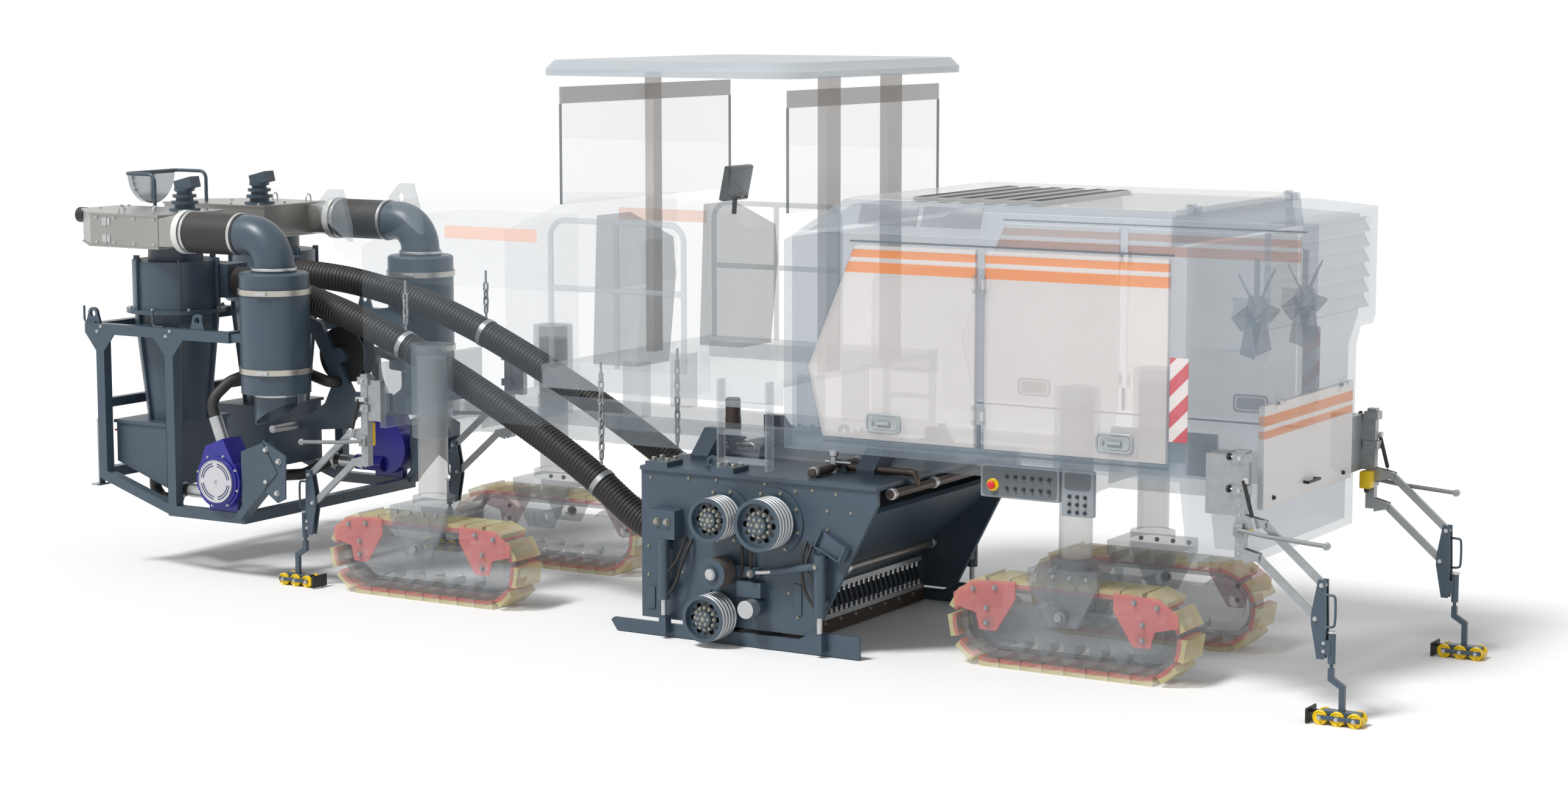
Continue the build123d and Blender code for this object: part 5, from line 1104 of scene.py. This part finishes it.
class MILLING_OT_body_trim(bpy.types.Operator):
    """Latch frames, chevron plates, control panel, displays, lid grilles and flap handle."""

    bl_idname = "milling.body_trim"
    bl_label = "Body trim"

    def execute(self, context):
        self.add_latches()
        self.add_chevrons()
        self.add_control_panel()
        self.add_console_display()
        self.add_lid_grilles()
        self.add_flap_handle()
        self.add_hood_edges()
        self.add_lid_meshes()
        self.add_screen_edges()
        return {"FINISHED"}

    def add_latches(self):
        """Sunk latches in the side doors."""
        for hand, side in hands:
            for place, x, z in (("front", -1.316, 1.618), ("rear", -2.974, 1.611)):
                bm = bmesh.new()
                centre = at(x, side * (HOOD_Y + 0.0005), z)
                add_rim(bm, centre, 0.13, 0.064, 0.016, 0.010, side)
                add_tray(bm, centre, 0.104, 0.042, 0.004, side)
                low = centre + Vector((-0.05, side * 0.003, -0.012))
                high = centre + Vector((0.05, side * 0.016, 0.012))
                add_block(bm, low, high, 0.004)
                add_bolt(bm, centre + Vector((0.08, side * 0.002, 0)), (0, side, 0), 0.018)
                panel = clear_panel("latch", "A9B0B4", 0.85)
                add_piece(f"latch_{place}_{hand}", bm, panel, f"{place}_door_{hand}")

    def add_chevrons(self):
        """Warning plates at the hood's rear corners."""
        bm = bmesh.new()
        for _, side in hands:
            low = at(-3.470, side * (HOOD_Y + 0.0004), 1.648)
            high = at(-3.345, side * (HOOD_Y + 0.0044), 2.174)
            add_block(bm, low, high, 0.0018)
        add_piece("chevron_plates", bm, chevron_film())

    def add_control_panel(self):
        """Ground-level control panels with their knobs, hung under both sides of the hood."""
        shell = bmesh.new()
        face = bmesh.new()
        knobs = bmesh.new()
        ring = bmesh.new()
        button = bmesh.new()
        for _, side in hands:
            add_block(shell, at(-2.550, side * 0.955, 1.180), at(-1.985, side * 1.010, 1.3995), 0.012)
            add_block(shell, at(-2.790, side * 0.955, 1.100), at(-2.560, side * 1.000, 1.3995), 0.012)
            add_tray(face, at(-2.268, side * 1.0105, 1.290), 0.265, 0.095, 0.005, side)
            add_tray(face, at(-2.675, side * 1.0005, 1.330), 0.09, 0.055, 0.005, side)
            knob = ((0, 0), (0.014, 0), (0.014, 0.004), (0.010, 0.006), (0.009, 0.018), (0, 0.019))
            for x in (-2.18, -2.24, -2.30, -2.36, -2.42, -2.48):
                for z in (1.25, 1.325):
                    add_lathe(knobs, at(x, side * 1.0125, z), (0, side, 0), knob, 14)
            for x in (-2.73, -2.675, -2.62):
                for z in (1.13, 1.18, 1.23):
                    add_lathe(knobs, at(x, side * 1.0, z), (0, side, 0), knob, 14)
            disc = ((0, 0), (0.042, 0), (0.042, 0.006), (0.038, 0.009), (0, 0.009))
            add_lathe(ring, at(-2.08, side * 1.0125, 1.265), (0, side, 0), disc, 28)
            mushroom = (
                (0, 0.009), (0.012, 0.009), (0.012, 0.022), (0.026, 0.026), (0.026, 0.034),
                (0.018, 0.040), (0, 0.042),
            )
            add_lathe(button, at(-2.08, side * 1.0125, 1.265), (0, side, 0), mushroom, 28)
        grey = clear_panel("panel_shell", "9AA2A8", 0.75)
        add_piece("control_panel_shells", shell, grey)
        dark = clear_panel("panel_face", "6A7176", 0.8)
        add_piece("control_panel_faces", face, dark)
        add_piece("control_knobs", knobs, clear_panel("knob", "3A3E42", 0.85))
        add_piece("stop_rings", ring, yellow_polymer())
        add_piece("stop_buttons", button, red_polymer())

    def add_console_display(self):
        """Display on its stalk, with keys and a pane."""
        bm = bmesh.new()
        tilt = Matrix.Rotation(math.radians(-12), 4, "Y")
        centre = at(0.93, -0.69, 3.03)
        add_slab(bm, centre, (0.025, 0.17, 0.13), 0.012, tilt)
        for step in (-0.09, 0.0, 0.09):
            key = centre + Vector((-0.03, step, -0.105))
            add_slab(bm, key, (0.006, 0.02, 0.008), 0.003, tilt)
        add_pipe(bm, at(0.95, -0.69, 2.80), at(0.94, -0.69, 2.93), 0.018)
        add_piece("console_display", bm, clear_panel("display", "50565B", 0.75))
        bm = bmesh.new()
        add_slab(bm, centre + Vector((-0.0295, 0, 0.012)), (0.003, 0.145, 0.09), 0.002, tilt)
        pane = clear_panel("display_pane", "9AA3A9", 0.6, roughness=0.08)
        add_piece("console_screen", bm, pane)

    def add_lid_grilles(self):
        """Slanting blades in the lid's six slots."""
        bm = bmesh.new()
        tilt = Matrix.Rotation(math.radians(35), 4, "Y")
        for slot in range(6):
            x = -1.350 - slot * 0.170
            for shift in (-0.026, 0.0, 0.026):
                add_slab(bm, at(x + shift, 0, 3.061), (0.002, 0.703, 0.021), 0.001, tilt)
        add_piece("lid_grilles", bm, clear_panel("grille", "4E565C", 0.8), "lid")

    def add_flap_handle(self):
        """Bow handle and two bolts on the rear flap."""
        bm = bmesh.new()
        centre = at(-3.840, 0, 1.30)
        for y in (0.09, -0.09):
            add_pipe(bm, centre + Vector((0.0, y, 0)), centre + Vector((-0.035, y, 0)), 0.010)
        route = [centre + Vector((-0.035, y, 0)) for y in (0.105, 0.05, -0.05, -0.105)]
        add_hose(bm, route, 0.010)
        for y in (0.60, -0.60):
            add_bolt(bm, at(-3.840, y, 1.27), (-1, 0, 0), 0.026)
        add_piece("flap_handle", bm, black_polymer_and_hole_shade(), "flap")

    def add_hood_edges(self):
        """Folded edge strips along the hood's side seams and round the door openings."""
        bm = bmesh.new()
        for _, side in hands:
            inner_y = side * (HOOD_Y - 0.005)
            outer_y = side * (HOOD_Y + 0.006)
            for low, high in (
                (at(-3.36, inner_y, 2.800), at(-1.06, outer_y, 2.812)),
                (at(-3.345, inner_y, 1.470), at(-0.86, outer_y, 1.482)),
                (at(-2.030, inner_y, 1.500), at(-2.004, outer_y, 1.66)),
            ):
                add_block(bm, low, high, 0.002)
        add_piece("hood_edge_strips", bm, clear_panel("edge", "6F7A83", 0.7))

    def add_lid_meshes(self):
        """Perforated vents at the front of the lid's sloping sides."""
        bm = bmesh.new()
        tilt = math.atan2(0.080, 0.224)
        for _, side in hands:
            turn = Matrix.Rotation(side * tilt, 4, "X")
            for x in (-1.325, -1.790):
                add_slab(bm, at(x, side * 1.0575, 2.979), (0.215, 0.004, 0.068), 0.002, turn)
        add_piece("lid_meshes", bm, clear_panel("mesh", "8E8C94", 0.3), "lid")

    def add_screen_edges(self):
        """Dark edge seals down both sides of the wind screens."""
        bm = bmesh.new()
        for x, half_width in SCREENS:
            for _, side in hands:
                low = at(x - 0.003, side * (half_width - 0.007), 2.962)
                high = at(x + 0.015, side * (half_width + 0.002), 3.655)
                add_block(bm, low, high, 0.0015)
        add_piece("screen_edges", bm, clear_panel("seal", "5B6166", 0.6))


class MILLING_OT_arm_fittings(bpy.types.Operator):
    """Trolley wheels, handles, gas struts, clamp knobs and sensor boxes of the levelling arms."""

    bl_idname = "milling.arm_fittings"
    bl_label = "Arm fittings"

    def execute(self, context):
        for corner, (post_x, out, arm_y) in ARMS.items():
            self.add_wheels(corner, post_x, out, arm_y)
            self.add_handle(corner, post_x, out, arm_y)
        self.add_post_fittings()
        self.add_rod_ends()
        return {"FINISHED"}

    def add_rod_ends(self):
        """Round eyes with a bolt on the free ends of the sensor rods."""
        bm = bmesh.new()
        half = 0.0165
        profile = (
            (0, -half), (0.020, -half), (0.023, -0.0135), (0.023, 0.0135), (0.020, half), (0, half),
        )
        for post_x, out, arm_y in ARMS.values():
            side = 1 if arm_y > 0 else -1
            eye = at(post_x + out * 0.575, arm_y + side * ROD_OUT, 1.101)
            add_lathe(bm, eye, (0, side, 0), profile, 24)
            add_bolt(bm, eye + Vector((0, side * half, 0)), (0, side, 0), 0.018, 0.007)
        add_piece("sensor_rod_ends", bm, zinc_steel())

    def add_wheels(self, corner, post_x, out, arm_y):
        """Trolley wheels on both sides of a leg's foot, their plates and bolts."""
        wheels = bmesh.new()
        hubs = bmesh.new()
        plates = bmesh.new()
        tread = (
            (0.010, 0.0), (0.039, 0.0), (0.046, 0.004), (0.046, 0.020), (0.039, 0.024),
            (0.033, 0.018), (0.016, 0.018), (0.010, 0.022),
        )
        for u in (0.5555, 0.6655, 0.7755):
            for way in (1, -1):
                centre = at(post_x + out * u, arm_y + way * 0.0363, 0.046)
                add_lathe(wheels, centre, (0, way, 0), tread, 32)
                add_bolt(hubs, centre + Vector((0, way * 0.0300, 0)), (0, way, 0), 0.022)
        body = "leg_" + corner
        for way in (1, -1):
            y = arm_y + way * 0.0603
            low = at(post_x + out * 0.540, y, 0.036)
            high = at(post_x + out * 0.814, y + way * 0.006, 0.064)
            add_block(plates, low, high, 0.0025)
        add_piece("trolley_plates_" + corner, plates, slate_enamel(), body)
        add_piece("trolley_wheels_" + corner, wheels, yellow_polymer(), body)
        for u in (0.621, 0.733):
            for way in (1, -1):
                add_bolt(hubs, at(post_x + out * u, arm_y + way * 0.036, 0.052), (0, way, 0), 0.014)
        add_piece("trolley_bolts_" + corner, hubs, bright_steel(), body)

    def add_handle(self, corner, post_x, out, arm_y):
        """Bow handle, pin bolts and washer of a leg."""
        bm = bmesh.new()
        side = 1 if arm_y > 0 else -1
        y = arm_y + side * 0.024
        x = post_x + out * 0.57
        route = (
            at(x - out * 0.01, y, 0.80), at(x + out * 0.045, y, 0.80), at(x + out * 0.06, y, 0.79),
            at(x + out * 0.06, y, 0.62), at(x + out * 0.045, y, 0.60), at(x - out * 0.01, y, 0.60),
        )
        add_hose(bm, route, 0.008, 12)
        add_piece("leg_handle_" + corner, bm, slate_enamel(), "leg_" + corner)
        bm = bmesh.new()
        for u, z in ((0.540, 0.854), (0.502, 0.645)):
            for way in (1, -1):
                add_bolt(bm, at(post_x + out * u, arm_y + way * 0.030, z), (0, way, 0), 0.024)
        for z in (0.45, 0.50):
            add_bolt(bm, at(post_x + out * 0.56, arm_y + side * 0.030, z), (0, side, 0), 0.018)
        washer = at(post_x + out * 0.603, arm_y, 0.560)
        add_pipe(bm, washer, at(post_x + out * 0.603, arm_y, 0.575), 0.030)
        add_piece("leg_bolts_" + corner, bm, bright_steel(), "leg_" + corner)

    def add_post_fittings(self):
        """Gas struts, clamp knobs, sensor boxes and bolts of the arms' posts."""
        struts = bmesh.new()
        rods = bmesh.new()
        boxes = bmesh.new()
        knobs = bmesh.new()
        for post_x, out, arm_y in ARMS.values():
            side = 1 if arm_y > 0 else -1
            bar_y = arm_y + side * ROD_OUT
            head = at(post_x + out * 0.030, bar_y, 1.46)
            neck = at(post_x + out * 0.092, bar_y, 1.235)
            foot = at(post_x + out * 0.125, bar_y, 1.135)
            add_pipe(struts, head, neck, 0.013)
            add_pipe(rods, neck, foot, 0.006)
            low = at(post_x - 0.03, arm_y + side * 0.030, 1.44)
            high = at(post_x + out * 0.055, bar_y + side * 0.008, 1.475)
            add_block(rods, low, high, 0.004)
            for z in (1.392, 1.592):
                add_bolt(rods, at(post_x, arm_y + side * 0.045, z), (0, side, 0), 0.026)
                stem = at(post_x - out * 0.048, arm_y, z)
                add_pipe(rods, stem, stem - Vector((out * 0.03, 0, 0)), 0.007)
                grip = ((0, 0), (0.018, 0), (0.024, 0.006), (0.024, 0.018), (0.016, 0.024), (0, 0.025))
                add_lathe(knobs, stem - Vector((out * 0.03, 0, 0)), (-out, 0, 0), grip, 10)
            inner = arm_y - side * 0.030
            low = at(post_x - 0.035, inner, 1.105)
            if out < 0:
                add_block(boxes, low, at(post_x + 0.045, inner - side * 0.09, 1.222), 0.010)
                plug = at(post_x + 0.005, inner - side * 0.045, 1.105)
                gland = ((0, 0), (0.02, 0), (0.016, 0.03), (0, 0.03))
                add_lathe(knobs, plug, (0, 0, -1), gland, 16)
            else:
                add_block(boxes, low, at(post_x + 0.035, inner - side * 0.03, 1.28), 0.008)
            for z in (1.0, 1.06, 1.12, 1.24, 1.30):
                add_bolt(rods, at(post_x, arm_y + side * 0.030, z), (0, side, 0), 0.012)
        add_piece("gas_struts", struts, black_polymer_and_hole_shade())
        add_piece("post_fittings", rods, bright_steel())
        add_piece("sensor_boxes", boxes, yellow_polymer())
        add_piece("post_knobs", knobs, black_polymer_and_hole_shade())


class MILLING_OT_track_bolts(bpy.types.Operator):
    """Bolts on the track frames, guards and forks."""

    bl_idname = "milling.track_bolts"
    bl_label = "Track bolts"

    def execute(self, context):
        for end, axle, gauge in TRACKS:
            for hand, side in hands:
                bm = bmesh.new()
                guard_y = side * (gauge + 0.170)
                for way in (1, -1):
                    for u, z in ((0.50, 0.54), (0.66, 0.52), (0.56, 0.40), (0.56, 0.30)):
                        add_bolt(bm, at(axle + way * u, guard_y, z), (0, side, 0), 0.030)
                fork_y = side * (gauge + 0.202)
                for u, z in ((0.18, 0.66), (0.06, 0.66), (-0.06, 0.66), (-0.18, 0.66)):
                    add_bolt(bm, at(axle + u, fork_y, z), (0, side, 0), 0.028)
                add_bolt(bm, at(axle, side * (gauge + 0.222), 0.400), (0, side, 0), 0.060)
                bolts = clear_panel("track_bolt", "A3A8AB", 0.6)
                add_piece(f"track_bolts_{end}_{hand}", bm, bolts, f"track_{end}_{hand}")
        return {"FINISHED"}


class MILLING_OT_stage(bpy.types.Operator):
    """Pale floor, soft studio light and the camera at the picture's angle."""

    bl_idname = "milling.stage"
    bl_label = "Stage"

    def execute(self, context):
        scene = context.scene
        scene.view_settings.view_transform = "Standard"
        scene.cycles.transparent_max_bounces = 96
        self.add_floor(scene)
        self.add_light(scene)
        self.add_camera(scene)
        return {"FINISHED"}

    def add_floor(self, scene):
        mesh = bpy.data.meshes.new("floor")
        half = 60.0
        mesh.from_pydata(
            [(-half, -half, 0), (half, -half, 0), (half, half, 0), (-half, half, 0)], [], [(0, 1, 2, 3)]
        )
        # Matt white studio paper: takes soft shadows and no reflection
        material, tree = new_material("white_studio_floor")
        surface(tree, {"Base Color": (0.9, 0.9, 0.9, 1.0), "Roughness": 0.9})
        mesh.materials.append(material)
        floor = bpy.data.objects.new("floor", mesh)
        scene.collection.objects.link(floor)

    def add_light(self, scene):
        world = bpy.data.worlds.new("studio")
        world.use_nodes = True
        tree = world.node_tree
        tree.nodes.clear()
        path = add_node(tree, "ShaderNodeLightPath")
        seen = path.outputs["Is Camera Ray"]
        for ray in ("Is Glossy Ray", "Is Transmission Ray"):
            either = {0: seen, 1: path.outputs[ray]}
            seen = add_node(tree, "ShaderNodeMath", either, operation="MAXIMUM").outputs[0]
        soft = add_node(tree, "ShaderNodeBackground", {"Color": (1, 1, 1, 1), "Strength": 0.44})
        white = add_node(tree, "ShaderNodeBackground", {"Color": (1, 1, 1, 1), "Strength": 1.0})
        blend = {"Fac": seen, 1: soft.outputs[0], 2: white.outputs[0]}
        mix = add_node(tree, "ShaderNodeMixShader", blend)
        add_node(tree, "ShaderNodeOutputWorld", {"Surface": mix.outputs[0]})
        scene.world = world
        sun = bpy.data.lights.new("sun", "SUN")
        sun.energy = 2.8
        sun.angle = math.radians(14)
        lamp = bpy.data.objects.new("sun", sun)
        lamp.rotation_euler = Vector((-0.25, -0.55, -0.85)).to_track_quat("-Z", "Y").to_euler()
        scene.collection.objects.link(lamp)

    def add_camera(self, scene):
        lens = bpy.data.cameras.new("camera")
        lens.sensor_width = 36.0
        lens.lens = 71.1
        lens.clip_end = 200.0
        camera = bpy.data.objects.new("camera", lens)
        camera.location = (-11.895, 18.627, 4.398)
        sight = Vector((0.5115, -0.8493, -0.1310))
        camera.rotation_euler = sight.to_track_quat("-Z", "Y").to_euler()
        scene.collection.objects.link(camera)
        scene.camera = camera


class MILLING_PT_panel(bpy.types.Panel):
    """Lists the fitting-out steps in the sidebar."""

    bl_idname = "MILLING_PT_panel"
    bl_label = "Milling machine"
    bl_space_type = "VIEW_3D"
    bl_region_type = "UI"
    bl_category = "Milling"

    def draw(self, context):
        for operator in OPERATORS:
            self.layout.operator(operator.bl_idname)
        for group in (context.scene.milling_sizes, context.scene.milling_colours):
            for name in group.__annotations__:
                self.layout.prop(group, name)


OPERATORS = (
    MILLING_OT_finishes,
    MILLING_OT_suction_hoses,
    MILLING_OT_pulley_bolts,
    MILLING_OT_housing_fittings,
    MILLING_OT_extraction_fittings,
    MILLING_OT_body_trim,
    MILLING_OT_arm_fittings,
    MILLING_OT_track_bolts,
    MILLING_OT_stage,
)
CLASSES = (MillingColours, MillingSizes) + OPERATORS + (MILLING_PT_panel,)


def register():
    for item in CLASSES:
        bpy.utils.register_class(item)
    bpy.types.Scene.milling_colours = PointerProperty(type=MillingColours)
    bpy.types.Scene.milling_sizes = PointerProperty(type=MillingSizes)


def unregister():
    del bpy.types.Scene.milling_sizes
    del bpy.types.Scene.milling_colours
    for item in reversed(CLASSES):
        bpy.utils.unregister_class(item)


def main():
    """Register and run every step in order."""
    register()
    bpy.ops.milling.finishes()
    bpy.ops.milling.suction_hoses()
    bpy.ops.milling.pulley_bolts()
    bpy.ops.milling.housing_fittings()
    bpy.ops.milling.extraction_fittings()
    bpy.ops.milling.body_trim()
    bpy.ops.milling.arm_fittings()
    bpy.ops.milling.track_bolts()
    bpy.ops.milling.stage()


if __name__ == "__main__":
    main()
